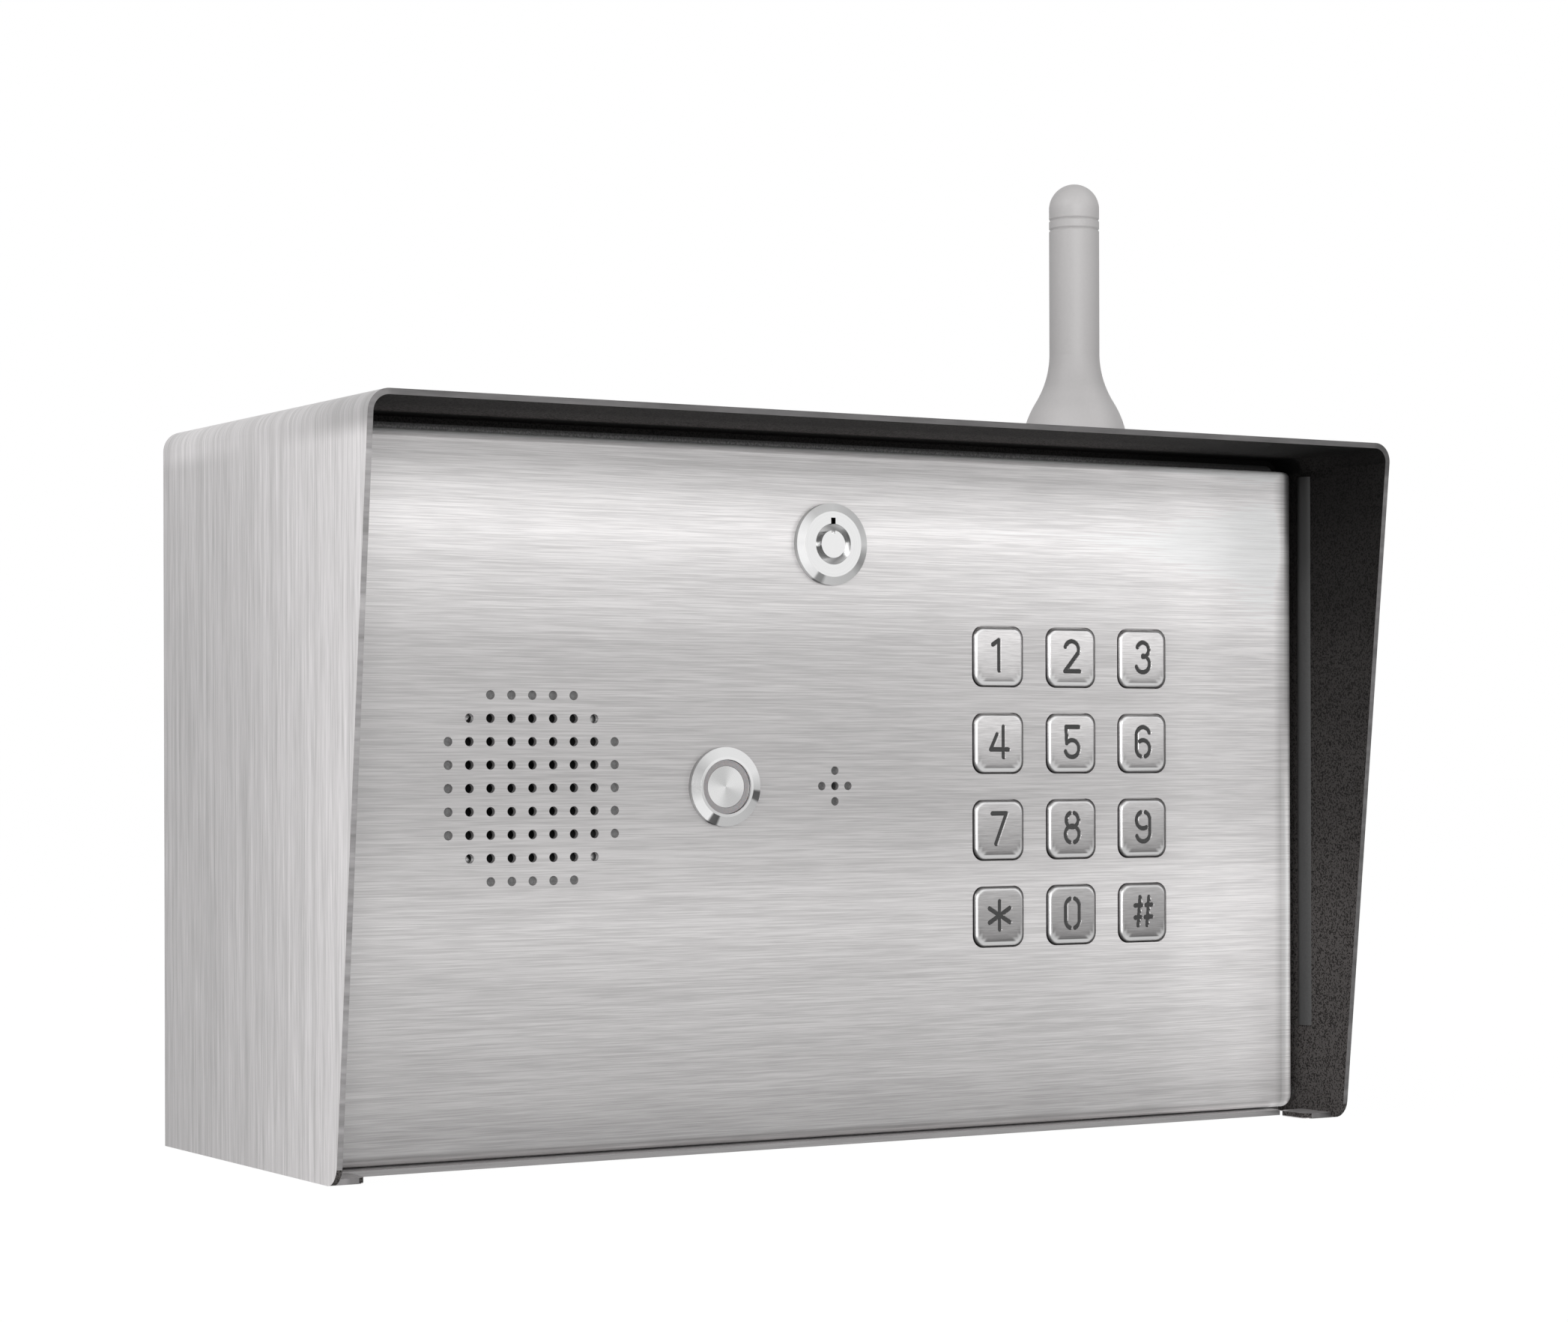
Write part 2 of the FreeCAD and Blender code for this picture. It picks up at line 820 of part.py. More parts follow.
def key_cap(x, z):
    """A key: raised cap with bevelled edges, a retaining flange and a stem."""
    size = key_opening - 2 * key_side_gap
    front = door_y - key_rise
    flange_y = panel_rear_y + key_rest_gap
    flange = size + 2 * key_side_gap + 2 * key_flange
    cap = rounded_y(x, z, size, size, key_opening_corner - key_side_gap, front, flange_y)
    rim = [edge for edge in cap.Edges if abs(edge.BoundBox.YMax - front) < 1e-6]
    cap = cap.makeChamfer(key_edge, rim)
    collar = rounded_y(x, z, flange, flange, key_opening_corner, flange_y, flange_y + key_flange_thickness)
    stem_end = key_stop_y() - key_travel - key_stop_gap
    stem = rod_y(x, z, key_stem, flange_y + key_flange_thickness, stem_end)
    return cap.fuse(collar).fuse(stem).removeSplitter()


def keypad_frame():
    """Moulded frame that guides the keys' flanges and holds the mat off the panel."""
    y0 = panel_rear_y
    y1 = y0 + frame_depth
    frame = rounded_y(keypad_x, keypad_z, keypad_width, keypad_height, stud_inset, y0, y1)
    pocket = key_opening + 2 * key_flange + 2 * pocket_gap
    cuts = [
        rounded_y(x, z, pocket, pocket, key_opening_corner + pocket_gap, y0 - 1, y1 + 1)
        for x, z in key_places()
    ]
    return frame.cut(Part.makeCompound(cuts)).cut(stud_clearance_holes(keypad_stud_places(), y0, y1))


def keypad_mat():
    """Silicone mat with a dome behind each key."""
    y0 = panel_rear_y + frame_depth
    y1 = y0 + mat_thickness
    mat = rounded_y(keypad_x, keypad_z, keypad_width, keypad_height, stud_inset, y0, y1)
    for x, z in key_places():
        dome = turned_y([(0, key_stop_y()), (key_stem, key_stop_y()), (dome_radius, y0), (0, y0)], x, z)
        mat = mat.fuse(dome)
    return mat.cut(stud_clearance_holes(keypad_stud_places(), y0, y1)).removeSplitter()


def keypad_board():
    y0 = panel_rear_y + frame_depth + mat_thickness
    y1 = y0 + board_thickness
    board = rounded_y(keypad_x, keypad_z, keypad_width, keypad_height, stud_inset, y0, y1)
    return board.cut(stud_clearance_holes(keypad_stud_places(), y0, y1))


def bowed(start, end, bow):
    """An arc in the XZ plane whose middle stands off its chord by bow, to the right of the way it runs."""
    along = (end - start).normalize()
    middle = (start + end) * 0.5 + Vector(along.z, 0, -along.x) * bow
    return Part.Arc(start, middle, end).toShape()


def antenna_whip():
    """Moulded antenna: flared skirt, straight rod with two fine grooves, domed tip and threaded stud."""
    x = antenna_x
    y = antenna_y()
    base_z = hood_height + antenna_pad
    rod_start = base_z + antenna_edge + antenna_flare
    tip_z = base_z + antenna_height

    def at(radius, z):
        return Vector(x + radius, y, z)

    edges = [
        Part.LineSegment(at(0, base_z), at(antenna_base, base_z)).toShape(),
        Part.LineSegment(at(antenna_base, base_z), at(antenna_base, base_z + antenna_edge)).toShape(),
    ]
    waist = at((antenna_base + antenna_rod) / 2, base_z + antenna_edge + antenna_flare / 2)
    edges.append(bowed(at(antenna_base, base_z + antenna_edge), waist, antenna_bow))
    edges.append(bowed(waist, at(antenna_rod, rod_start), -antenna_bow))
    last = at(antenna_rod, rod_start)
    for step in (1, 0):
        middle = tip_z - antenna_groove_top - step * antenna_groove_pitch
        low = at(antenna_rod, middle - antenna_groove_width / 2)
        high = at(antenna_rod, middle + antenna_groove_width / 2)
        edges.append(Part.LineSegment(last, low).toShape())
        floor = at(antenna_rod - antenna_groove, middle)
        edges.append(Part.LineSegment(low, floor).toShape())
        edges.append(Part.LineSegment(floor, high).toShape())
        last = high
    last_of_rod = at(antenna_rod, tip_z - antenna_dome)
    edges.append(Part.LineSegment(last, last_of_rod).toShape())
    radius = (antenna_rod ** 2 + antenna_dome ** 2) / (2 * antenna_dome)
    lean = (math.asin(1 - antenna_dome / radius) + math.pi / 2) / 2
    shoulder = at(radius * math.cos(lean), tip_z - radius + radius * math.sin(lean))
    edges.append(Part.Arc(last_of_rod, shoulder, at(0, tip_z)).toShape())
    edges.append(Part.LineSegment(at(0, tip_z), at(0, base_z)).toShape())
    whip = Part.Face(Part.Wire(edges)).revolve(Vector(x, y, 0), Vector(0, 0, 1), 360)
    stud = rod_z(x, y, antenna_stud, base_z - antenna_stud_length, base_z)
    return whip.fuse(stud).removeSplitter()


def antenna_gasket():
    pad = rod_z(
        antenna_x, antenna_y(), antenna_base - antenna_pad_inset, hood_height, hood_height + antenna_pad
    )
    return pad.cut(
        rod_z(antenna_x, antenna_y(), antenna_stud + antenna_stud_clearance, hood_height - 1, hood_height + 2)
    )


def antenna_nut():
    """Nut under the box's top."""
    bore = antenna_stud + thread_clearance
    nut = hexagon_y(0, 0, antenna_nut_flats, bore, 0, antenna_nut_thickness)
    nut.rotate(Vector(0, 0, 0), Vector(1, 0, 0), 90)
    nut.translate(Vector(antenna_x, antenna_y(), box_inner_z - antenna_nut_thickness))
    return nut


def antenna_connector():
    """Coaxial socket on the end of the antenna's stud."""
    top = hood_height + antenna_pad - antenna_stud_length
    socket = rod_z(antenna_x, antenna_y(), connector_radius, top - connector_length, top)
    bore = rod_z(antenna_x, antenna_y(), connector_radius / 2, top - connector_length - 1, top - 2)
    return socket.cut(bore)


def mount_plate():
    """Stiffening plate behind the four bolt holes, inside the rear wall."""
    plate = block(
        -plate_half_x, plate_half_x, back_inner_y - plate_thickness, back_inner_y,
        middle_z - plate_half_z, middle_z + plate_half_z
    )
    plate = plate.makeFillet(plate_margin / 2, edges_along(plate, "y"))
    return plate.cut(rear_openings(back_inner_y - plate_thickness - 1, back_inner_y + 1))


def cable_grommet():
    """Rubber grommet in the cable hole, with a lip on each face."""
    y0 = back_inner_y - plate_thickness
    neck = cable_hole - grommet_fit
    lip = cable_hole + grommet_lip
    points = [
        (grommet_bore, y0 - grommet_lip_thickness),
        (lip, y0 - grommet_lip_thickness),
        (lip, y0),
        (neck, y0),
        (neck, rear_y),
        (grommet_bore, rear_y),
    ]
    return turned_y(points, 0, middle_z)


def board_y():
    """The board's rear face, on its standoffs."""
    return back_inner_y - standoff_height


def board_stud_places():
    return [
        (board_x + x, middle_z + z)
        for x, z in grid(2, 2, board_width - 2 * board_inset, board_height - 2 * board_inset)
    ]


def board_standoffs():
    parts = []
    for x, z in board_stud_places():
        post = rod_y(x, z, standoff_radius, board_y(), back_inner_y)
        bore = rod_y(x, z, screw_radius + thread_clearance, board_y() - 1, board_y() + screw_bite)
        parts.append(post.cut(bore))
    return Part.makeCompound(parts)


def main_board():
    """Circuit board with its mounting holes."""
    y1 = board_y()
    y0 = y1 - board_thickness
    board = block(
        board_x - board_width / 2, board_x + board_width / 2, y0, y1,
        middle_z - board_height / 2, middle_z + board_height / 2
    )
    holes = [rod_y(x, z, screw_radius + screw_clearance, y0 - 1, y1 + 1) for x, z in board_stud_places()]
    return board.cut(Part.makeCompound(holes))


def board_front():
    return board_y() - board_thickness


def board_screws():
    parts = []
    for x, z in board_stud_places():
        shank = rod_y(x, z, screw_radius, board_front(), board_y() + screw_bite - 1)
        head = rod_y(x, z, screw_head, board_front() - screw_head_height, board_front())
        parts.append(shank.fuse(head).removeSplitter())
    return Part.makeCompound(parts)


def terminal_block():
    """Screw terminals along the board's lower edge, one body with a sunk screw for each way."""
    half = terminal_ways * terminal_pitch / 2
    z0 = middle_z - board_height / 2 + 2 * board_inset
    y1 = board_front()
    y0 = y1 - terminal_block_height
    body = block(board_x - half, board_x + half, y0, y1, z0, z0 + terminal_block_depth)
    edge = edges_at(edges_at(edges_along(body, "x"), "y", y0), "z", z0)
    body = body.makeChamfer(terminal_block_depth / 3, edge)
    ways = [board_x - half + (way + 0.5) * terminal_pitch for way in range(terminal_ways)]
    screw_z = z0 + terminal_block_depth * 0.7
    entry_z = z0 + terminal_block_depth / 6
    cuts = [rod_y(x, screw_z, terminal_screw, y0 - 1, y0 + terminal_screw_sink) for x in ways]
    cuts += [
        block(
            x - terminal_screw, x + terminal_screw, y1 - 3 * terminal_screw, y1 - terminal_screw,
            z0 - 1, entry_z
        )
        for x in ways
    ]
    return body.cut(Part.makeCompound(cuts))


def relays():
    """Two sealed relays side by side in the middle of the board."""
    y1 = board_front()
    parts = []
    for side in (-1, 1):
        x = board_x + side * (relay_width + relay_gap) / 2
        body = block(
            x - relay_width / 2, x + relay_width / 2, y1 - relay_depth, y1,
            middle_z - board_height / 6 - relay_height / 2, middle_z - board_height / 6 + relay_height / 2
        )
        front = [edge for edge in body.Edges if abs(edge.CenterOfMass.y - (y1 - relay_depth)) < 1e-6]
        parts.append(body.makeFillet(relay_edge, front))
    return Part.makeCompound(parts)


def radio_module():
    """Screened radio module on the upper half of the board, with its coaxial socket."""
    y1 = board_front()
    z = middle_z + board_height / 4
    can = block(
        board_x - module_width / 2, board_x + module_width / 2, y1 - module_depth, y1,
        z - module_height / 2, z + module_height / 2
    )
    front = [edge for edge in can.Edges if abs(edge.CenterOfMass.y - (y1 - module_depth)) < 1e-6]
    can = can.makeFillet(module_edge, front)
    socket_z = z + module_height / 3
    socket = rod_y(board_x, socket_z, coax_radius, y1 - module_depth - coax_length, y1 - module_depth)
    return can.fuse(socket).removeSplitter()


KEY_NAMES = (
    "key_1", "key_2", "key_3", "key_4", "key_5", "key_6",
    "key_7", "key_8", "key_9", "key_star", "key_0", "key_hash",
)


def parts():
    """Every node's shape by its name."""
    nodes = {
        "hood_cover": hood_cover(),
        "back_box": back_box(),
        "box_flange": box_flange(),
        "sill_angle": sill_angle(),
        "door_side_strips": side_strips(),
        "pivot_pins": pivot_pins(),
        "mount_plate": mount_plate(),
        "cable_grommet": cable_grommet(),
        "board_standoffs": board_standoffs(),
        "main_board": main_board(),
        "board_screws": board_screws(),
        "terminal_block": terminal_block(),
        "relays": relays(),
        "radio_module": radio_module(),
        "antenna_whip": antenna_whip(),
        "antenna_gasket": antenna_gasket(),
        "antenna_nut": antenna_nut(),
        "antenna_connector": antenna_connector(),
        "door_panel": door_panel(),
        "door_gasket": door_gasket(),
        "speaker_gasket": speaker_gasket(),
        "speaker_basket": speaker_basket(),
        "speaker_cone": speaker_cone(),
        "speaker_magnet": speaker_magnet(),
        "speaker_nuts": nuts(speaker_stud_places(), speaker_stack()),
        "mic_boot": mic_boot(),
        "mic_capsule": mic_capsule(),
        "button_body": button_body(),
        "button_ring": button_ring(),
        "button_disc": button_disc(),
        "button_nut": button_nut(),
        "lock_shell": lock_shell(),
        "lock_nut": lock_nut(),
        "lock_spindle": lock_spindle(),
        "lock_cam": lock_cam(),
        "cam_nut": cam_nut(),
        "keypad_frame": keypad_frame(),
        "keypad_mat": keypad_mat(),
        "keypad_board": keypad_board(),
        "keypad_nuts": nuts(keypad_stud_places(), keypad_stack()),
    }
    for name, (x, z) in zip(KEY_NAMES, key_places()):
        nodes[name] = key_cap(x, z)
    return nodes


def main():
    os.makedirs("parts", exist_ok=True)
    for name, shape in parts().items():
        solids = [solid for solid in shape.Solids if solid.isValid()]
        if not solids or len(solids) != len(shape.Solids):
            raise ValueError("not a sound solid: " + name)
        shape.exportStep("parts/" + name + ".step")
        print(name, len(solids), round(shape.Volume))


main()
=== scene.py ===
import math

import bpy
import numpy as np
from bpy.props import FloatProperty, FloatVectorProperty, PointerProperty
from mathutils import Matrix, Vector


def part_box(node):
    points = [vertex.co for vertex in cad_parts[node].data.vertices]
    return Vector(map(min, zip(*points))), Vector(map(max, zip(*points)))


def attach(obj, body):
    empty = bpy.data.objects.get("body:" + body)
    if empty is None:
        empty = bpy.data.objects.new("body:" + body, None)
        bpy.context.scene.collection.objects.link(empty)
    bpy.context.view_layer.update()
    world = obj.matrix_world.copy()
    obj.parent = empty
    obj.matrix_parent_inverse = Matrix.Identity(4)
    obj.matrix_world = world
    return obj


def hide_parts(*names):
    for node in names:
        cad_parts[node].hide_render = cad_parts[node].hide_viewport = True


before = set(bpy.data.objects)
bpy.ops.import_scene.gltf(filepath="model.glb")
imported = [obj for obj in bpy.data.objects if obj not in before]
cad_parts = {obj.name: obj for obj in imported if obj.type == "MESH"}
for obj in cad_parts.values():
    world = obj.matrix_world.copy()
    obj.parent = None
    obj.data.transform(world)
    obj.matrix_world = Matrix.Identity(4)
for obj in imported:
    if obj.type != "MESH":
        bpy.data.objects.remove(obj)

bl_info = {
    "name": "Gooseneck intercom looks",
    "version": (1, 0, 0),
    "blender": (4, 2, 0),
    "location": "3D View > Sidebar > Intercom",
    "description": "Finishes, engraved keys and a studio for a hooded stainless intercom",
    "category": "Object",
}

MM = 0.001

# Painted light and shade levels that follow the case's width, depth and height run between these, from minus
# the half to plus the half, or from the underside up
HALF_WIDTH = 157 * MM
HALF_DEPTH = 67.5 * MM
SHADED_HEIGHT = 190 * MM

# How the shade under the hood deepens towards its right corner, from 70 to 125 mm right of the middle
HOOD_SHADE = ("X", 70 * MM, 125 * MM, [(0.0, 1.0), (0.55, 0.6), (0.8, 0.3), (1.0, 0.2)])

# Coarse brushing scatters much of the light evenly, so the sheet takes less than a full metallic share
SATIN = 0.5


def colour(text):
    """An sRGB hex colour as linear RGBA: c/12.92 below 0.04045, else ((c + 0.055)/1.055) to the 2.4."""
    parts = np.array([int(text[i:i + 2], 16) for i in (1, 3, 5)]) / 255.0
    linear = np.where(parts < 0.04045, parts / 12.92, ((parts + 0.055) / 1.055) ** 2.4)
    return (*linear.tolist(), 1.0)


def grey(value):
    """A neutral grey by its sRGB value from 0 to 255."""
    return colour("#" + "%02x" % value * 3)


class FinishSettings(bpy.types.PropertyGroup):
    """Colours and grain sizes of the finishes."""

    steel_light: FloatVectorProperty(
        name="Steel, light streaks", description="Lighter tone of the brushed stainless sheet",
        subtype="COLOR", size=4, min=0, max=1, default=colour("#d1cfcf"))
    steel_dark: FloatVectorProperty(
        name="Steel, dark streaks", description="Darker tone of the brushed stainless sheet",
        subtype="COLOR", size=4, min=0, max=1, default=colour("#c2c0c0"))
    paint: FloatVectorProperty(
        name="Hood paint", description="Satin black powder coat inside the hood",
        subtype="COLOR", size=4, min=0, max=1, default=colour("#201e1d"))
    plastic: FloatVectorProperty(
        name="Antenna plastic", description="Light grey moulded plastic of the antenna",
        subtype="COLOR", size=4, min=0, max=1, default=colour("#b3b1b1"))
    # Real scratches are near 0.05 mm wide, too fine for the picture, so the streaks are drawn coarser
    grain_length: FloatProperty(
        name="Grain length", description="Length of one streak of the brushing",
        unit="LENGTH", default=17 * MM, min=1 * MM, max=200 * MM)
    grain_width: FloatProperty(
        name="Grain width", description="Width of one streak of the brushing",
        unit="LENGTH", default=0.26 * MM, min=0.05 * MM, max=5 * MM)


class KeySettings(bpy.types.PropertyGroup):
    """Sizes of the engraved keys, beyond those of the frame's own key."""

    roll: FloatProperty(
        name="Rolled edge", description="Radius of the key's rolled front edge",
        unit="LENGTH", default=1.2 * MM, min=0.1 * MM, max=2 * MM)
    corner: FloatProperty(
        name="Corner", description="Radius of the key's four corners, seen from the front",
        unit="LENGTH", default=3.1 * MM, min=0.5 * MM, max=6 * MM)
    depth: FloatProperty(
        name="Engraving depth", description="Depth of the engraved characters",
        unit="LENGTH", default=0.3 * MM, min=0.05 * MM, max=1 * MM)
    stroke: FloatProperty(
        name="Stroke width", description="Width of the engraving cutter",
        unit="LENGTH", default=1.15 * MM, min=0.3 * MM, max=2 * MM)
    lift: FloatProperty(
        name="Character lift", description="Height of the characters above the middle of their keys",
        unit="LENGTH", default=0.4 * MM, min=-2 * MM, max=2 * MM)


class StageSettings(bpy.types.PropertyGroup):
    """Camera and lights."""

    focal_pixels: FloatProperty(
        name="Focal length in pixels", description="Focal length measured in pixels of the frame",
        default=4812.1, min=500, max=20000)
    surround: FloatProperty(
        name="Surround", description="Level of the even light from all sides", default=0.47, min=0, max=2)
    key_power: FloatProperty(
        name="Front light", description="Power of the soft light beside the camera",
        unit="POWER", default=44, min=0, max=200)
    side_power: FloatProperty(
        name="Left light", description="Power of the soft light at the upper left",
        unit="POWER", default=16, min=0, max=200)


def node(tree, kind, inputs=None, **settings):
    """Adds one shader node, sets its properties, and fills or links its inputs by name or number.

    A node given as an input is linked by its first output.
    """
    made = tree.nodes.new("ShaderNode" + kind)
    for name, value in settings.items():
        setattr(made, name, value)
    for name, value in (inputs or {}).items():
        if isinstance(value, bpy.types.Node):
            value = value.outputs[0]
        if isinstance(value, bpy.types.NodeSocket):
            tree.links.new(value, made.inputs[name])
        else:
            made.inputs[name].default_value = value
    return made


def blank(name):
    """An empty material and its node tree."""
    material = bpy.data.materials.new(name)
    material.use_nodes = True
    material.node_tree.nodes.clear()
    return material, material.node_tree


def finish(tree, shader):
    """Joins a shader to the material's output."""
    node(tree, "OutputMaterial", {"Surface": shader})


def ramp(tree, factor, stops, mode="LINEAR"):
    """A colour ramp through (position, colour) stops."""
    made = node(tree, "ValToRGB", {"Fac": factor})
    band = made.color_ramp
    band.interpolation = mode
    band.elements[0].position = stops[0][0]
    band.elements[0].color = stops[0][1]
    band.elements[1].position = stops[-1][0]
    band.elements[1].color = stops[-1][1]
    for position, tone in stops[1:-1]:
        band.elements.new(position).color = tone
    return made.outputs["Color"]


def streaks(tree, long_scale, fine_scale, fine_axes, detail=3.0):
    """Noise drawn out into streaks: fine along the axes named and long along the others."""
    place = node(tree, "TexCoord").outputs["Object"]
    scale = [fine_scale if axis in fine_axes else long_scale for axis in "XYZ"]
    spread = node(tree, "Mapping", {"Vector": place, "Scale": scale})
    return node(tree, "TexNoise", {
        "Vector": spread, "Scale": 1.0, "Detail": detail, "Roughness": 0.6,
    })


def tones(tree, factor, dark, light, low=0.3, high=0.7):
    """Two tones of one finish, dark where a noise is at or below low and light at or above high."""
    return ramp(tree, factor, [(low, dark), (high, light)])


def blend(tree, factor, first, second, mode="MIX"):
    """Two colours mixed by a factor, and kept at or below white."""
    return node(tree, "Mix", {0: factor, 6: first, 7: second}, data_type="RGBA", blend_type=mode,
                clamp_result=True).outputs[2]


def times(tree, base, level):
    """One colour multiplied by another."""
    return blend(tree, 1.0, base, level, "MULTIPLY")


def levels_along(tree, axis, start, end, stops):
    """A ramp of linear (position, level) stops along one object axis, from start to end in metres."""
    place = node(tree, "TexCoord").outputs["Object"]
    along = node(tree, "SeparateXYZ", {"Vector": place}).outputs[axis]
    part = node(tree, "MapRange", {"Value": along, "From Min": start, "From Max": end})
    return ramp(tree, part, [(at, (level, level, level, 1.0)) for at, level in stops], "EASE")


def shade_along(tree, base, *reach):
    """Multiplies a colour by levels that run along one object axis."""
    return times(tree, base, levels_along(tree, *reach))


def brushing(tree, fine_axes):
    """The scratches of a brushed sheet: the fine ones alone, and with bands mixed in for the tone.

    The bands are the same noise, some eight times as broad and as long.
    """
    sizes = bpy.context.scene.intercom_finish
    coarser = 0.12
    fine = streaks(tree, 1 / sizes.grain_length, 1 / sizes.grain_width, fine_axes)
    broad = streaks(tree, coarser / sizes.grain_length, coarser / sizes.grain_width, fine_axes, 2.0)
    both = node(tree, "Mix", {"Factor": 0.35, "A": fine, "B": broad}, data_type="FLOAT")
    return fine, both


def grained(tree, base, grain, metallic, smooth, rough, strength=0.25, relief=0.02 * MM):
    """A surface whose roughness and fine relief both follow its grain, which softens what it mirrors."""
    dull = node(tree, "MapRange", {"Value": grain, "To Min": smooth, "To Max": rough})
    bump = node(tree, "Bump", {"Height": grain, "Strength": strength, "Distance": relief})
    return node(tree, "BsdfPrincipled", {
        "Base Color": base, "Metallic": metallic, "Roughness": dull,
        "Normal": bump,
    })


def place_and_facing(tree):
    """The spot that is shaded and its normal, each as the object's own X, Y and Z."""
    spot = node(tree, "TexCoord").outputs
    return [node(tree, "SeparateXYZ", {"Vector": spot[name]}).outputs for name in ("Object", "Normal")]


def brushed_sheet(name, fine_axes, dark, light, painted_shades=(), satin=None, edge=None):
    """Brushed stainless sheet, number 4 finish: short parallel scratches in two close greys.

    The shades are painted light and shade, as levels along the axes; edge is a pair, where a last painted
    shade lies and how it runs.
    """
    material, tree = blank(name)
    fine, both = brushing(tree, fine_axes)
    base = tones(tree, both, dark, light, 0.38, 0.62)
    # Painted light and shade along the axes, then the painted shade at the edge
    for shade in painted_shades:
        base = shade_along(tree, base, *shade)
    if edge:
        base = blend(tree, levels_along(tree, *edge[0]), base, shade_along(tree, base, *edge[1]))
    base = times(tree, base, tones(tree, fine, grey(240), grey(255), 0.38, 0.62))
    metallic = levels_along(tree, *satin) if satin else SATIN
    finish(tree, grained(tree, base, fine, metallic, smooth=0.29, rough=0.41))
    return material


def plain_metal(name, dark, light, rough, grain=0.8 * MM):
    """Cold rolled or plated metal: a faint cloudiness and fine dull spots, drawn coarser than they are."""
    material, tree = blank(name)
    place = node(tree, "TexCoord").outputs["Object"]
    cloud = node(tree, "TexNoise", {"Vector": place, "Scale": 1 / (12 * grain), "Detail": 4.0})
    spots = node(tree, "TexNoise", {"Vector": place, "Scale": 1 / grain, "Detail": 2.0})
    base = tones(tree, cloud, dark, light)
    finish(tree, grained(tree, base, spots, 1.0, rough - 0.04, rough + 0.06, strength=0.08))
    return material


def moulded(name, dark, light, rough, grain, relief=0.04 * MM, painted_shades=()):
    """Moulded plastic, rubber, paper or board: an even colour with a fine matt grain, and any shades as
    painted shade along the axes.

    The real grain is too fine to show, so it is drawn coarser.
    """
    material, tree = blank(name)
    place = node(tree, "TexCoord").outputs["Object"]
    pattern = node(tree, "TexNoise", {"Vector": place, "Scale": 1 / grain, "Detail": 3.0})
    base = tones(tree, pattern, dark, light)
    # Painted shade along the axes
    for shade in painted_shades:
        base = shade_along(tree, base, *shade)
    finish(tree, grained(tree, base, pattern, 0.0, rough - 0.05, rough + 0.05, strength=0.3, relief=relief))
    return material


def powder_coat(tree):
    """Satin black powder coat: an orange-peel skin, darker up in the hood's shade.

    The skin's bumps are some 0.45 mm across. With painted shade the walls darken upwards, and the roof
    darkens towards its front edge, its right corner and the frame above the door.
    """
    sizes = bpy.context.scene.intercom_finish
    roof_height = 187 * MM
    peel_size = 0.45 * MM
    place = node(tree, "TexCoord").outputs["Object"]
    skin = node(tree, "TexNoise", {"Vector": place, "Scale": 1 / peel_size, "Detail": 2.0})
    coat = tones(tree, skin, sizes.paint, colour("#504d4c"), 0.41, 0.52)
    # Painted shade: the walls darken upwards into the hood
    walls = shade_along(tree, coat, "Z", 0.0, 192 * MM, [
        (0.0, 0.95), (0.26, 0.9), (0.5, 0.55), (0.65, 0.4), (0.8, 0.2), (0.93, 0.12), (1.0, 0.12),
    ])
    # Painted shade: the roof darkens towards its right corner, its front edge and the frame above the door
    roof = shade_along(tree, coat, *HOOD_SHADE)
    roof = shade_along(tree, roof, "Y", -HALF_DEPTH, -28 * MM, [
        (0.0, 0.32), (0.4, 0.36), (0.7, 0.68), (0.88, 0.9), (0.95, 0.8), (1.0, 0.2),
    ])
    height = node(tree, "SeparateXYZ", {"Vector": place}).outputs["Z"]
    above = node(tree, "Math", {0: height, 1: roof_height}, operation="GREATER_THAN")
    base = blend(tree, above, walls, roof)
    peel = node(tree, "Bump", {"Height": skin, "Strength": 0.5, "Distance": 0.06 * MM})
    return node(tree, "BsdfPrincipled", {
        "Base Color": base, "Roughness": 0.85, "Specular IOR Level": 0.12, "Normal": peel,
    })


def box_finish():
    """Brushed stainless, darker at the cut front edge with painted shade; the rim beside and above the door
    is coated black.

    The rim is what faces forwards, within 60 degrees, and lies at the front.
    """
    sizes = bpy.context.scene.intercom_finish
    rim_end = 30 * MM
    lip_height = 10 * MM
    rim_facing = -0.5
    material, tree = blank("box_stainless_and_coated_rim")
    fine = streaks(tree, 1 / sizes.grain_length, 1 / sizes.grain_width, "YZ")
    spot, facing = place_and_facing(tree)
    forwards = node(tree, "Math", {0: facing["Y"], 1: rim_facing}, operation="LESS_THAN")
    front = node(tree, "Math", {0: spot["Y"], 1: rim_end}, operation="LESS_THAN")
    rim = node(tree, "Math", {0: forwards, 1: front}, operation="MULTIPLY")
    raised = node(tree, "Math", {0: spot["Z"], 1: lip_height}, operation="GREATER_THAN")
    coated = node(tree, "Math", {0: rim, 1: raised}, operation="MULTIPLY")
    base = tones(tree, fine, sizes.steel_dark, sizes.steel_light, 0.36, 0.64)
    # Painted shade on the rim's steel, which lies in the door's shade
    base = blend(tree, rim, base, times(tree, base, grey(182)))
    steel = grained(tree, base, fine, SATIN, smooth=0.3, rough=0.42)
    finish(tree, node(tree, "MixShader", {0: coated, 1: steel, 2: powder_coat(tree)}))
    return material


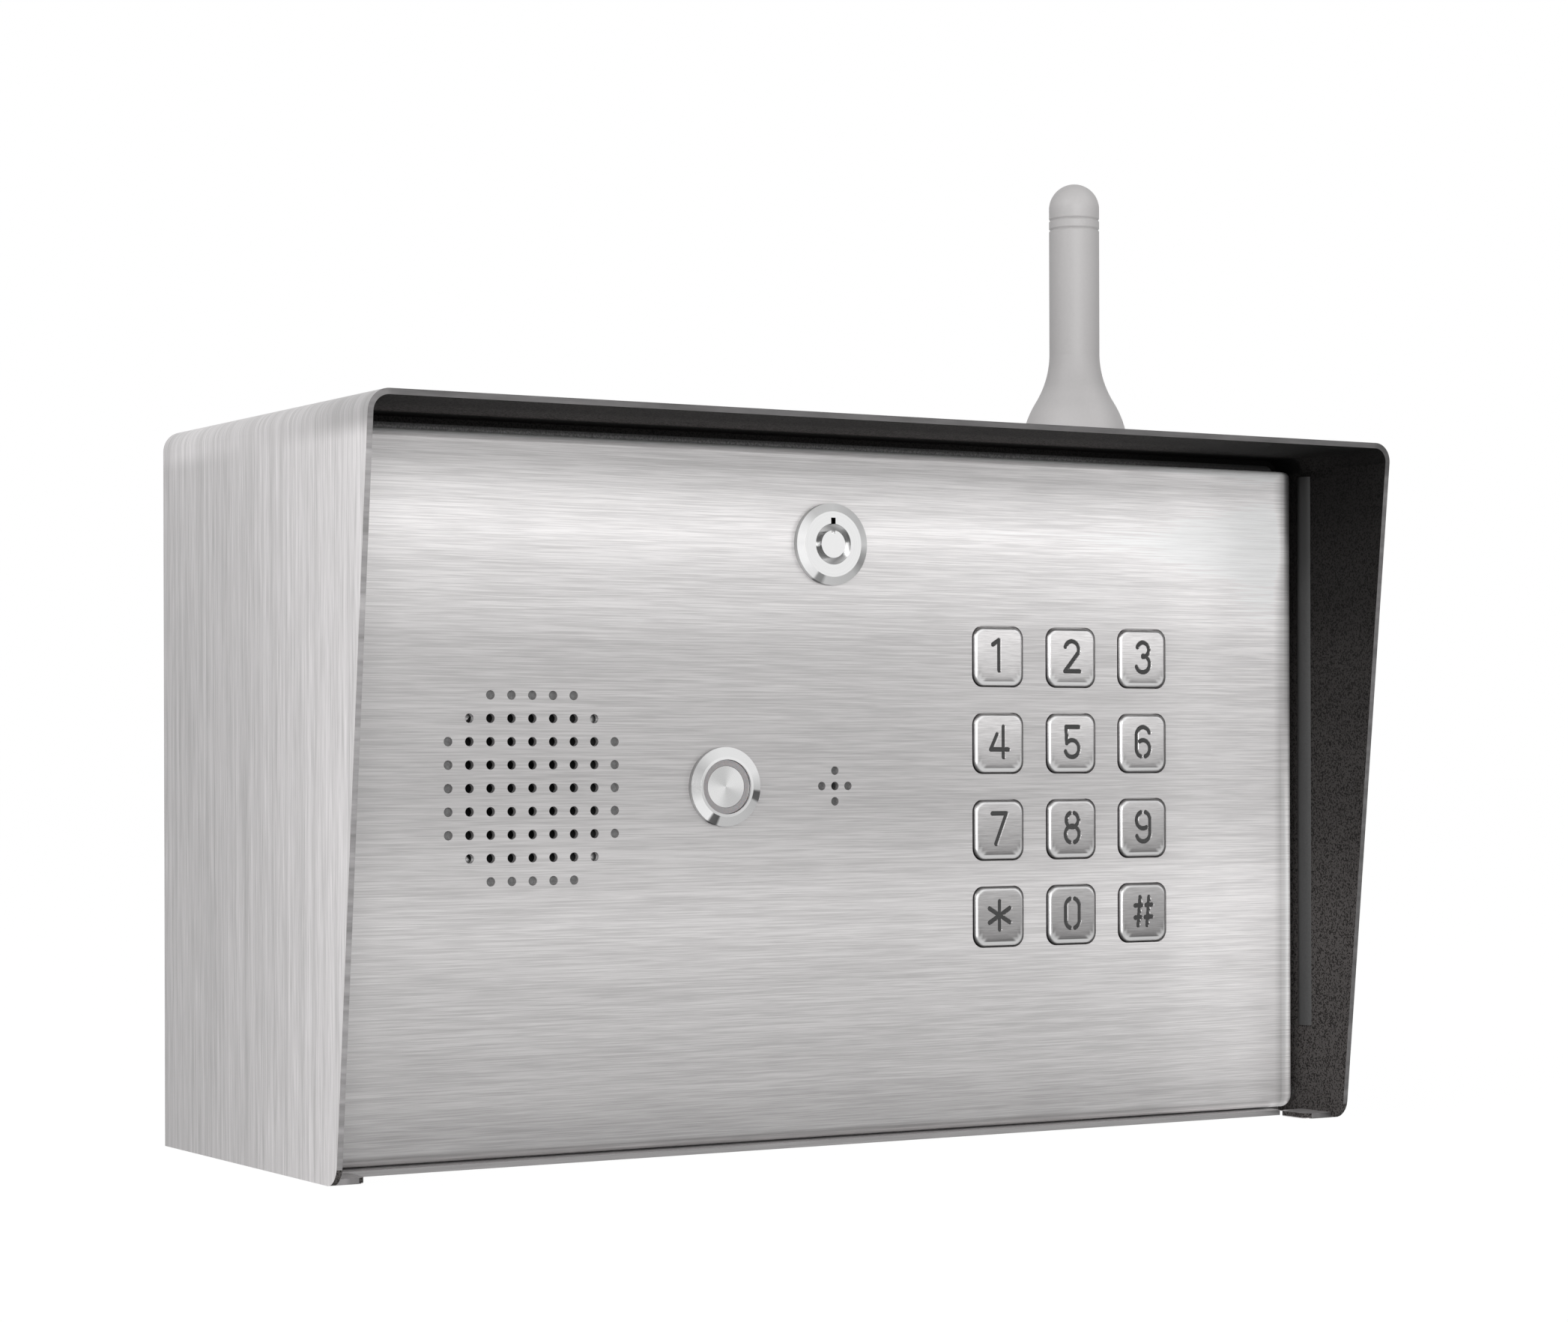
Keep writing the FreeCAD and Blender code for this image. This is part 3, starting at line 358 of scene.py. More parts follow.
def hood_finish():
    """Brushed stainless outside and at the cut edges, satin black powder coat on the inner faces.

    In painted light and shade the wings fade towards the rear and a little downwards, the bend above them the
    other way, and the cut edges, which face forwards within 32 degrees, are darker, most of all at the right.
    Inner faces look towards the middle or down, above the feet.
    """
    bend_start = 180.5 * MM
    bend_end = 186 * MM
    feet = 0.2 * MM
    cut_facing = -0.85
    inner_facing = -0.3
    material, tree = blank("hood_stainless_and_powder_coat")
    fine, both = brushing(tree, "Y")
    base = tones(tree, both, colour("#a7a5a5"), colour("#dedbdc"), 0.34, 0.66)
    # Painted light: the wings fade from front to rear
    base = shade_along(tree, base, "Y", -HALF_DEPTH, HALF_DEPTH, [
        (0.0, 1.14), (0.13, 1.11), (0.278, 1.03), (0.426, 0.93), (0.6, 0.83), (0.722, 0.79), (1.0, 0.73),
    ])
    # Painted highlight and shade on the bend, darker at the front and lighter at the rear
    bend = levels_along(tree, "Z", bend_start, bend_end, [(0.0, 0.0), (1.0, 1.0)])
    base = blend(tree, bend, base, shade_along(tree, base, "Y", -HALF_DEPTH, HALF_DEPTH, [
        (0.0, 0.6), (0.13, 0.66), (0.28, 0.82), (0.43, 0.97), (0.65, 1.12), (0.87, 1.28), (1.0, 1.15),
    ]))
    # Painted shade, a little darker towards the underside
    base = shade_along(tree, base, "Z", 0.0, SHADED_HEIGHT, [(0.0, 0.92), (0.6, 0.96), (1.0, 1.05)])
    spot, facing = place_and_facing(tree)
    cut = node(tree, "Math", {0: facing["Y"], 1: cut_facing}, operation="LESS_THAN")
    # Painted shade on the cut edges, deepest at the right
    base = blend(tree, cut, base, shade_along(tree, base, "X", -HALF_WIDTH, HALF_WIDTH, [
        (0.0, 0.5), (0.015, 0.45), (0.02, 0.33), (0.98, 0.28), (0.985, 0.2), (1.0, 0.2),
    ]))
    steel = grained(tree, base, fine, SATIN, smooth=0.3, rough=0.42)
    side = node(tree, "Math", {0: spot["X"]}, operation="SIGN")
    outwards = node(tree, "Math", {0: facing["X"], 1: side, 2: facing["Z"]}, operation="MULTIPLY_ADD")
    inside = node(tree, "Math", {0: outwards, 1: inner_facing}, operation="LESS_THAN")
    above = node(tree, "Math", {0: spot["Z"], 1: feet}, operation="GREATER_THAN")
    mask = node(tree, "Math", {0: inside, 1: above}, operation="MULTIPLY")
    finish(tree, node(tree, "MixShader", {0: mask, 1: steel, 2: powder_coat(tree)}))
    return material


def polar(tree, centre):
    """The angle about a centre as a share of a turn, from the right and upwards, and the distance from it."""
    place = node(tree, "TexCoord").outputs["Object"]
    flat = node(tree, "Mapping", {
        "Vector": place, "Location": (-centre[0], 0.0, -centre[2]), "Scale": (1.0, 0.0, 1.0),
    })
    along = node(tree, "SeparateXYZ", {"Vector": flat}).outputs
    angle = node(tree, "Math", {0: along["Z"], 1: along["X"]}, operation="ARCTAN2")
    part = node(tree, "Math", {0: angle, 1: 2 * math.pi}, operation="DIVIDE")
    share = node(tree, "Math", {0: part}, operation="FRACT")
    return share, node(tree, "VectorMath", {0: flat}, operation="LENGTH").outputs["Value"]


def around(tree, share, greys):
    """Greys that run round a centre, as (angle in degrees, grey) pairs."""
    return ramp(tree, share, [(angle / 360, grey(level)) for angle, level in greys])


def turned_head(name, centre, reach, face, painted_sheen, soft=0.0, keyway=None, turn=((0, 255), (360, 255))):
    """Polished head turned on a lathe: a face and, beyond reach, a bevel whose painted reflection runs round
    it.

    Turn darkens the face round the centre with painted shade. With painted shade, what is sunk behind the
    face is darker, the rim's side is a little darker as well as duller, and a notch that reaches beyond the
    keyway's radius is dark inside. The tool's rings are drawn coarser than they are.
    """
    material, tree = blank(name)
    front = centre[1]
    mouth = front + 0.2 * MM
    recess = front + 1.2 * MM
    floor = front + 4 * MM
    ring_width = 0.2 * MM
    side_facing = -0.35
    share, distance = polar(tree, centre)
    bevel = node(tree, "Math", {0: distance, 1: reach}, operation="GREATER_THAN")
    rings = node(tree, "TexNoise", {"W": distance, "Scale": 1 / ring_width}, noise_dimensions="1D")
    flat = tones(tree, rings, grey(face - 6), grey(face))
    # Painted shade round the face, and the painted reflection round the bevel
    flat = times(tree, flat, around(tree, share, turn))
    base = blend(tree, bevel, flat, around(tree, share, painted_sheen))
    spot, facing = place_and_facing(tree)
    # Painted shade in the recess behind the face
    sunk = node(tree, "MapRange", {"Value": spot["Y"], "From Min": recess, "From Max": floor})
    base = blend(tree, sunk, base, times(tree, base, grey(203)))
    sideways = node(tree, "Math", {0: facing["Y"], 1: side_facing}, operation="GREATER_THAN")
    side = node(tree, "Math", {0: sideways, 1: bevel}, operation="MULTIPLY")
    # Painted shade on the rim's side
    base = blend(tree, side, base, times(tree, base, grey(236)))
    if keyway:
        beyond = node(tree, "Math", {0: distance, 1: keyway}, operation="GREATER_THAN")
        between = node(tree, "Math", {0: beyond, 1: bevel}, operation="SUBTRACT")
        inside = [(0.0, 0.0), (0.05, 1.0), (0.9, 1.0), (1.0, 0.0)]
        deep = levels_along(tree, "Y", mouth, floor, inside)
        notch = node(tree, "Math", {0: between, 1: deep}, operation="MULTIPLY")
        # Painted shade inside the notch
        base = blend(tree, notch, base, times(tree, base, grey(60)))
    metal = node(tree, "Math", {0: bevel, 1: -soft, 2: 1.0}, operation="MULTIPLY_ADD")
    dull = node(tree, "Math", {0: bevel, 1: 0.5 * soft, 2: 0.13}, operation="MULTIPLY_ADD")
    dull = node(tree, "Math", {0: side, 1: 0.45, 2: dull}, operation="MULTIPLY_ADD")
    finish(tree, node(tree, "BsdfPrincipled", {"Base Color": base, "Metallic": metal, "Roughness": dull}))
    return material


def spun_disc(name, centre, dark, light, lobes, phase):
    """Metal disc spun on a lathe: light and dark sectors of painted reflection that turn about its centre.

    The tone is the sine of the angle times the lobes plus the phase, over rings that are drawn coarser than
    the tool's own.
    """
    ring_width = 0.15 * MM
    material, tree = blank(name)
    share, reach = polar(tree, centre)
    # Painted reflection: sectors that turn about the centre
    turns = node(tree, "Math", {0: share, 1: 2 * math.pi * lobes, 2: phase}, operation="MULTIPLY_ADD")
    wave = node(tree, "Math", {0: turns}, operation="SINE")
    level = node(tree, "MapRange", {"Value": wave, "From Min": -1.0, "From Max": 1.0})
    base = ramp(tree, level, [(0.0, dark), (1.0, light)], "EASE")
    rings = node(tree, "TexNoise", {"W": reach, "Scale": 1 / ring_width}, noise_dimensions="1D")
    finish(tree, grained(tree, base, rings, 1.0, smooth=0.2, rough=0.34, strength=0.2, relief=0.01 * MM))
    return material


def light_guide(name):
    """Frosted polycarbonate ring: milky, softly glossy."""
    frost_size = 0.4 * MM
    material, tree = blank(name)
    place = node(tree, "TexCoord").outputs["Object"]
    frost = node(tree, "TexNoise", {"Vector": place, "Scale": 1 / frost_size, "Detail": 2.0})
    finish(tree, node(tree, "BsdfPrincipled", {
        "Base Color": tones(tree, frost, colour("#878485"), colour("#939091")), "Roughness": 0.3, "IOR": 1.58,
        "Subsurface Weight": 0.15, "Subsurface Scale": 0.5 * MM,
    }))
    return material


def key_finish():
    """Brushed zinc keys whose engraving is filled with dark paint.

    The brush is shorter and finer than the door's. With painted shade the keys grow darker down the pad; two
    attributes hold the painted highlight and the painted shade of the rolled edge, and the attribute painted
    says where the paint lies.
    """
    sizes = bpy.context.scene.intercom_finish
    material, tree = blank("key_brushed_zinc_and_filled_engraving")
    fine = streaks(tree, 4 / sizes.grain_length, 1.6 / sizes.grain_width, "Z")
    base = tones(tree, fine, colour("#cac8c8"), colour("#eae8e8"), 0.32, 0.68)
    # Painted shade: the keys darken down the pad
    base = shade_along(tree, base, "Z", 50 * MM, 140 * MM, [
        (0.0, 0.5), (0.11, 0.52), (0.38, 0.63), (0.64, 0.83), (0.91, 1.0), (1.0, 1.0),
    ])
    # Painted highlight and painted shade on the rolled edge
    painted_sheen = node(tree, "Attribute", attribute_name="painted_sheen").outputs["Fac"]
    base = blend(tree, painted_sheen, base, grey(240))
    base = times(tree, base, node(tree, "Attribute", attribute_name="shade").outputs["Fac"])
    metal = grained(tree, base, fine, 1.0, smooth=0.33, rough=0.33)
    fill = node(tree, "BsdfPrincipled", {
        "Base Color": tones(tree, fine, grey(36), grey(54)), "Roughness": 0.6,
    })
    painted = node(tree, "Attribute", attribute_name="painted").outputs["Fac"]
    finish(tree, node(tree, "MixShader", {0: painted, 1: metal, 2: fill}))
    return material


def dress(material, *names):
    """Gives CAD nodes one material in every slot."""
    for name in names:
        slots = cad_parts[name].data.materials
        if len(slots) == 0:
            slots.append(material)
        for number in range(len(slots)):
            slots[number] = material


class INTERCOM_OT_case(bpy.types.Operator):
    """Finishes the hood, the box, its sill, seals, pivots and rear mount"""

    bl_idname = "intercom.case"
    bl_label = "Case"

    def execute(self, context):
        finishes = context.scene.intercom_finish
        dress(hood_finish(), "hood_cover")
        dress(box_finish(), "back_box")
        # Painted shade: the flange darkens towards the hood's roof and its right corner
        painted_shade_under_roof = ("Z", 187 * MM, 190.5 * MM, [
            (0.0, 1.1), (0.4, 1.1), (0.6, 0.4), (0.75, 0.05), (1.0, 0.02),
        ])
        dress(moulded("frame_speckled_grey_coat", grey(72), grey(134), 0.6, 0.5 * MM,
                      painted_shades=[HOOD_SHADE, painted_shade_under_roof]), "box_flange")
        dress(brushed_sheet("sill_brushed_stainless", "Y", finishes.steel_dark, finishes.steel_light),
              "sill_angle")
        dress(plain_metal("mount_plate_galvanised_steel", grey(150), grey(176), 0.42), "mount_plate")
        dress(plain_metal("turned_stainless_pins", grey(176), grey(198), 0.25), "pivot_pins")
        # Painted shade: the side seals darken up into the hood
        upwards = ("Z", 20 * MM, SHADED_HEIGHT, [
            (0.0, 0.85), (0.6, 0.8), (0.76, 0.65), (0.85, 0.22), (1.0, 0.12),
        ])
        dress(moulded("side_seal_rubber", grey(46), grey(56), 0.6, 0.6 * MM, painted_shades=[upwards]),
              "door_side_strips")
        dress(moulded("cable_grommet_rubber", grey(34), grey(48), 0.55, 0.6 * MM), "cable_grommet")
        return {"FINISHED"}


class INTERCOM_OT_door(bpy.types.Operator):
    """Finishes the door and the foam frame behind it"""

    bl_idname = "intercom.door"
    bl_label = "Door"

    def execute(self, context):
        finishes = context.scene.intercom_finish
        half_door = 154 * MM
        # Painted light and shade: a painted highlight band across the upper door, darker lower down, lifted
        # at the top against the hood's shadow, lighter to the right and dark at the right edge
        painted_shades = [
            ("Z", 0.0, SHADED_HEIGHT, [
                (0.0, 1.2), (0.0155, 1.15), (0.0205, 0.66), (0.037, 0.64), (0.1, 0.79), (0.21, 0.9),
                (0.32, 1.03), (0.5, 0.8), (0.68, 0.9), (0.8, 1.22), (0.87, 1.58), (0.905, 1.4),
                (0.93, 1.18), (0.955, 1.02), (0.968, 1.15), (0.985, 1.9), (1.0, 2.0),
            ]),
            ("X", -half_door, half_door, [
                (0.0, 0.95), (0.5, 0.95), (0.7, 1.02), (0.82, 1.12), (0.9, 1.3), (0.96, 1.48), (0.975, 1.48),
                (0.988, 1.0), (0.996, 0.5), (1.0, 0.35),
            ]),
        ]
        satin = ("X", -half_door, half_door, [
            (0.0, SATIN), (0.8, SATIN), (0.92, 0.2), (0.985, 0.1), (1.0, 0.1),
        ])
        # Painted light and shade at the door's right edge, where the wing's shadow falls: darker at the top,
        # lighter at the bottom
        right_edge_painted_light = (
            ("X", 149 * MM, 152 * MM, [(0.0, 0.0), (0.33, 0.25), (1.0, 1.0)]),
            ("Z", 0.0, SHADED_HEIGHT, [
                (0.0, 2.6), (0.47, 2.5), (0.55, 1.7), (0.63, 1.0), (0.72, 0.78), (0.85, 0.36),
                (0.9, 0.2), (1.0, 0.18),
            ]),
        )
        dress(brushed_sheet("door_brushed_stainless", "Z", finishes.steel_dark, finishes.steel_light,
                            painted_shades, satin, right_edge_painted_light), "door_panel")
        dress(moulded("door_seal_foam", grey(24), grey(42), 0.9, 0.9 * MM, 0.2 * MM), "door_gasket")
        return {"FINISHED"}


class INTERCOM_OT_audio(bpy.types.Operator):
    """Finishes the speaker and the microphone"""

    bl_idname = "intercom.audio"
    bl_label = "Speaker and microphone"

    def execute(self, context):
        dress(moulded("speaker_gasket_foam", grey(96), grey(120), 0.9, 0.8 * MM, 0.15 * MM), "speaker_gasket")
        dress(plain_metal("speaker_basket_zinc_plated", grey(140), grey(168), 0.38), "speaker_basket")
        dress(moulded("speaker_cone_paper", grey(14), grey(26), 0.85, 1.5 * MM, 0.1 * MM), "speaker_cone")
        dress(moulded("magnet_ferrite", grey(48), grey(62), 0.6, 1.2 * MM), "speaker_magnet")
        dress(moulded("mic_boot_rubber", grey(80), grey(96), 0.65, 0.6 * MM), "mic_boot")
        # Black felt on the capsule, dark all over, so it also stands in for the shade deep in the bore:
        # painted shade
        dress(moulded("mic_capsule_black_felt_and_painted_shade", grey(18), grey(28), 0.9, 0.4 * MM), "mic_capsule")
        dress(plain_metal("zinc_plated_nuts", grey(168), grey(196), 0.32), "speaker_nuts", "keypad_nuts")
        return {"FINISHED"}


class INTERCOM_OT_button(bpy.types.Operator):
    """Finishes the call button: polished bezel, light ring, spun disc and nut"""

    bl_idname = "intercom.button"
    bl_label = "Call button"

    def execute(self, context):
        low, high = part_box("button_disc")
        centre = ((low[0] + high[0]) / 2, low[1], (low[2] + high[2]) / 2)
        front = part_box("button_body")[0][1]
        face_radius = 8 * MM
        # Painted reflection round the bezel, with two dark marks below
        painted_sheen = [
            (0, 190), (25, 224), (100, 224), (125, 214), (150, 180), (180, 172), (205, 228), (236, 234),
            (240, 96), (252, 84), (256, 188), (300, 186), (335, 178), (339, 92), (352, 84), (356, 186),
            (360, 190),
        ]
        # Painted shade round the face, darker to the lower left
        turn = [
            (0, 240), (30, 255), (120, 255), (150, 235), (165, 222), (270, 222), (300, 230), (345, 228),
            (360, 240),
        ]
        dress(turned_head("bezel_polished_stainless", (centre[0], front, centre[2]), face_radius, 232, painted_sheen,
                          turn=turn), "button_body")
        dress(light_guide("light_ring_polycarbonate"), "button_ring")
        # Painted reflection in the disc's light and dark sectors
        dress(spun_disc("disc_spun_stainless", centre, grey(194), grey(222), 2.0, 0.52), "button_disc")
        dress(plain_metal("nickel_plated_nuts", grey(178), grey(204), 0.26), "button_nut", "lock_nut")
        return {"FINISHED"}


class INTERCOM_OT_lock(bpy.types.Operator):
    """Finishes the cam lock: polished head, plug, cam and nut"""

    bl_idname = "intercom.lock"
    bl_label = "Cam lock"

    def execute(self, context):
        low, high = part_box("lock_shell")
        centre = ((low[0] + high[0]) / 2, low[1], (low[2] + high[2]) / 2)
        face_radius = 8.8 * MM
        keyway_radius = 5.55 * MM
        past_the_plug = 20 * MM
        # Painted reflection round the head's bevel, with dark marks below and to the lower right
        painted_sheen = [
            (0, 208), (30, 200), (60, 214), (90, 228), (125, 202), (145, 212), (180, 194), (210, 216),
            (236, 212), (240, 128), (250, 124), (256, 184), (310, 178), (330, 138), (345, 160), (360, 206),
        ]
        dress(turned_head("lock_head_bright_chrome", centre, face_radius, 236, painted_sheen, 0.6, keyway_radius),
              "lock_shell")
        # The plug takes only the painted shade of what is sunk behind its face
        dress(turned_head("lock_plug_bright_chrome", centre, past_the_plug, 238, [(0, 200), (360, 200)]),
              "lock_spindle")
        dress(plain_metal("cam_zinc_plated_steel", grey(170), grey(194), 0.35), "lock_cam", "cam_nut")
        return {"FINISHED"}


class INTERCOM_OT_keypad(bpy.types.Operator):
    """Finishes the keypad's frame, mat and board"""

    bl_idname = "intercom.keypad"
    bl_label = "Keypad behind the door"

    def execute(self, context):
        dress(moulded("keypad_frame_glass_nylon", grey(26), grey(40), 0.5, 0.9 * MM), "keypad_frame")
        dress(moulded("keypad_mat_silicone", grey(70), grey(86), 0.55, 1.0 * MM), "keypad_mat")
        dress(moulded("circuit_board_green_mask", colour("#12402a"), colour("#1a5236"), 0.3, 2.0 * MM),
              "keypad_board", "main_board")
        return {"FINISHED"}


class INTERCOM_OT_electronics(bpy.types.Operator):
    """Finishes the main board's standoffs, screws, terminals, relays and radio module"""

    bl_idname = "intercom.electronics"
    bl_label = "Main board"

    def execute(self, context):
        dress(plain_metal("standoff_nickel_plated_brass", grey(176), grey(200), 0.28),
              "board_standoffs", "board_screws")
        dress(moulded("terminal_block_green_nylon", colour("#1f6b3f"), colour("#2a7f4d"), 0.42, 1.0 * MM),
              "terminal_block")
        dress(moulded("relay_black_polyester", grey(22), grey(34), 0.38, 0.8 * MM), "relays")
        dress(plain_metal("radio_module_tinned_can", grey(176), grey(202), 0.3), "radio_module")
        return {"FINISHED"}


class INTERCOM_OT_antenna(bpy.types.Operator):
    """Finishes the antenna, its gasket, nut and socket"""

    bl_idname = "intercom.antenna"
    bl_label = "Antenna"

    def execute(self, context):
        tone = context.scene.intercom_finish.plastic
        darker = [share * 0.97 for share in tone[:3]] + [1.0]
        # Painted shade: the antenna darkens at mid height and towards its left and right sides
        painted_shades = [
            ("Z", 195 * MM, 273.6 * MM, [
                (0.0, 1.0), (0.13, 1.03), (0.19, 1.0), (0.256, 0.91), (0.35, 0.89), (0.48, 0.9), (0.73, 0.93),
                (0.88, 0.95), (0.93, 1.03), (1.0, 1.03),
            ]),
            ("X", 101.6 * MM, 114.6 * MM, [(0.0, 0.9), (0.5, 1.0), (1.0, 0.93)]),
        ]
        dress(moulded("antenna_moulded_grey_plastic", darker, tone, 0.5, 0.9 * MM, 0.03 * MM, painted_shades),
              "antenna_whip")
        dress(moulded("antenna_gasket_rubber", grey(26), grey(38), 0.65, 0.6 * MM), "antenna_gasket")
        dress(plain_metal("antenna_nut_nickel_plated", grey(178), grey(204), 0.28), "antenna_nut")
        dress(plain_metal("coax_socket_gilt_brass", colour("#b8944a"), colour("#cfae62"), 0.28),
              "antenna_connector")
        return {"FINISHED"}


# Half the height of the characters in millimetres, and the radii of their large and small bowls with the
# heights of the bowls' centres
TOP = 4.2
BOWL = 2.35
BOWL_CENTRE = TOP - BOWL
SMALL = 2.05
SMALL_CENTRE = TOP - SMALL

# By how many degrees an open bowl ends short of upright or level
BRIDGE = 20.0


def line(u0, v0, u1, v1):
    """A straight cut: the distance to the nearest point of the segment."""
    def distance(u, v):
        du, dv = u1 - u0, v1 - v0
        part = np.clip(((u - u0) * du + (v - v0) * dv) / (du * du + dv * dv), 0, 1)
        return np.hypot(u - u0 - part * du, v - v0 - part * dv)
    return distance


def arc(centre, radius, start, end):
    """A curved cut about (0, centre), its angles in degrees from the right and upwards.

    The distance is that to the circle within the angles, else to the nearer end.
    """
    def distance(u, v):
        along = (np.degrees(np.arctan2(v - centre, u)) - start) % 360
        ring = np.abs(np.hypot(u, v - centre) - radius)
        ends = [
            np.hypot(u - radius * math.cos(math.radians(a)), v - centre - radius * math.sin(math.radians(a)))
            for a in (start, end)
        ]
        return np.where(along <= end - start, ring, np.minimum(*ends))
    return distance


def turned_over(cuts):
    """The same cuts turned by half a turn about the character's centre."""
    return [lambda u, v, cut=cut: cut(-u, -v) for cut in cuts]


def six():
    """A six, which turned over is a nine: the back's arc and straight, then the bowl in two arcs."""
    return [
        arc(BOWL_CENTRE, BOWL, BRIDGE, 180),
        line(-BOWL, BOWL_CENTRE, -BOWL, -BOWL_CENTRE),
        arc(-BOWL_CENTRE, BOWL, 180, 270 - BRIDGE),
        arc(-BOWL_CENTRE, BOWL, BRIDGE - 90, 120),
    ]


def half_nought():
    """The left half of a nought: a straight between two arcs."""
    return [
        arc(BOWL_CENTRE, BOWL, 90 + BRIDGE, 180),
        line(-BOWL, BOWL_CENTRE, -BOWL, -BOWL_CENTRE),
        arc(-BOWL_CENTRE, BOWL, 180, 270 - BRIDGE),
    ]


def half_hash():
    """The left half of a hash: a leaning upright and half of each bar."""
    return [
        line(-1.2, TOP * 0.95, -1.9, -TOP * 0.95),
        line(-0.6, 1.7, -2.9, 1.6),
        line(-0.9, -1.7, -2.9, -1.8),
    ]


def characters():
    """The twelve characters as lists of cuts, in millimetres about the middle, by the key's name."""
    bend = math.radians(BRIDGE)
    tail = math.radians(180 - 2 * BRIDGE)
    arm = 3.9
    arms = [(arm * math.cos(math.radians(a)), arm * math.sin(math.radians(a))) for a in (30, 90, 150)]
    return {
        "key_1": [line(0, TOP, 0, -TOP), line(0, TOP, -SMALL, TOP * 0.7)],
        "key_2": [
            arc(BOWL_CENTRE, BOWL, -BRIDGE, 180 - BRIDGE),
            line(BOWL * math.cos(bend), BOWL_CENTRE - BOWL * math.sin(bend), -BOWL, -TOP),
            line(-BOWL, -TOP, BOWL * 1.15, -TOP),
        ],
        "key_3": [
            arc(SMALL_CENTRE, SMALL, -90, 180 - BRIDGE),
            arc(-BOWL_CENTRE, BOWL, BRIDGE - 180, 90),
        ],
        "key_4": [
            line(1.4, TOP, 1.4, -TOP),
            line(-0.7, TOP / 2, -2.8, -TOP / 2),
            line(-2.8, -TOP / 2, 3.05, -TOP / 2),
        ],
        "key_5": [
            line(-SMALL, TOP, BOWL, TOP),
            line(-SMALL, TOP, BOWL * math.cos(tail), BOWL * math.sin(tail) - BOWL_CENTRE),
            arc(-BOWL_CENTRE, BOWL, BRIDGE - 180, 180 - 2 * BRIDGE),
        ],
        "key_6": six(),
        "key_7": [line(-BOWL, TOP, BOWL, TOP), line(BOWL, TOP, -BOWL / 2, -TOP)],
        "key_8": [
            arc(SMALL_CENTRE, SMALL, 90 + BRIDGE, 270),
            arc(SMALL_CENTRE, SMALL, -90, 90 - BRIDGE),
            arc(-BOWL_CENTRE, BOWL, 90, 270 - BRIDGE),
            arc(-BOWL_CENTRE, BOWL, BRIDGE - 90, 90),
        ],
        "key_9": turned_over(six()),
        "key_0": half_nought() + turned_over(half_nought()),
        "key_star": [line(-x, -z, x, z) for x, z in arms],
        "key_hash": half_hash() + turned_over(half_hash()),
    }


def rounded_square(points, half, corner):
    """Square-border points moved onto a rounded square: past each corner's centre they keep its radius."""
    centre = half - corner
    size = np.abs(points) * half
    beyond = np.maximum(size - centre, 0)
    above_zero = 1e-9
    reach = np.maximum(np.hypot(beyond[:, 0], beyond[:, 1]), above_zero)
    inside = np.minimum(size, centre)
    pulled = inside + beyond * (corner / reach)[:, None]
    at_corner = (size > centre).all(axis=1)
    return np.sign(points) * np.where(at_corner[:, None], pulled, size)


def closed_mesh(name, points, quads, caps, material, layers):
    """A mesh of quads and flat end faces, turned so that its signed volume is positive."""
    faces = quads.tolist() + [list(cap) for cap in caps]
    corners = [np.array([(cap[0], cap[i], cap[i + 1]) for i in range(1, len(cap) - 1)]) for cap in caps]
    triangles = np.concatenate([quads[:, [0, 1, 2]], quads[:, [0, 2, 3]]] + corners)
    a, b, c = (points[triangles[:, i]] for i in range(3))
    if np.einsum("ij,ij->i", a, np.cross(b, c)).sum() < 0:
        faces = [face[::-1] for face in faces]
    mesh = bpy.data.meshes.new(name)
    mesh.from_pydata(points.tolist(), [], faces)
    mesh.materials.append(material)
    for title, values in layers.items():
        layer = mesh.attributes.new(title, "FLOAT", "POINT")
        layer.data.foreach_set("value", values.astype(np.float32))
    piece = bpy.data.objects.new(name, mesh)
    bpy.context.scene.collection.objects.link(piece)
    return piece


def rim_shade(x, z, half, roll, lip):
    """Painted shade and painted highlight of a flat key face with a rolled edge, drawn as if the face were
    dished.

    The distance in from a rounded square's outline places a pale ring of painted highlight on the roll, a
    dark band of painted shade that starts at once inside the ring's foot and fades inwards, and a dark line
    of painted shade where the roll turns in. The face also darkens downwards and at its side edges, painted
    shade as well.
    """
    corner = 0.48 * half
    edge_line = 0.35 * MM
    side_line = 0.6 * MM
    foot_line = 0.4 * MM
    band_fade = 1.1 * MM
    ring_middle, ring_spread = 0.6, 0.3
    across = np.abs(x) - half + corner
    upward = np.abs(z) - half + corner
    beyond = np.hypot(np.maximum(across, 0), np.maximum(upward, 0))
    inside = corner - beyond - np.minimum(np.maximum(across, upward), 0)
    foot = np.clip(-z / half * 1.6 - 0.4, 0, 1)
    right = np.clip(x / half * 4 - 3, 0, 1)
    left = np.clip(-x / half * 4 - 3, 0, 1)
    band = np.clip((inside - roll) / lip, 0, 1)
    # Painted shade: darker down the key, in the band above the lower roll, where the roll turns in and at the
    # sides
    shade = 0.74 + 0.36 * np.clip(z / half * 0.6 + 0.62, 0, 1) ** 1.3
    shade -= 0.4 * foot * band * np.exp(-np.maximum(inside - roll - lip, 0) / band_fade)
    shade *= 1 - np.clip(1 - inside / edge_line, 0, 1) * (0.1 + 0.6 * foot + 0.25 * right)
    shade *= 1 - (0.45 * left + 0.3 * right) * np.clip(2 - inside / side_line, 0, 1)
    # Painted highlight: the pale ring on the roll, wide along the foot
    ring = np.exp(-((inside / MM - ring_middle) / ring_spread) ** 2)
    return shade, 0.75 * (foot * (1 - band) * np.clip(inside / foot_line, 0, 1) + (1 - foot) * ring)


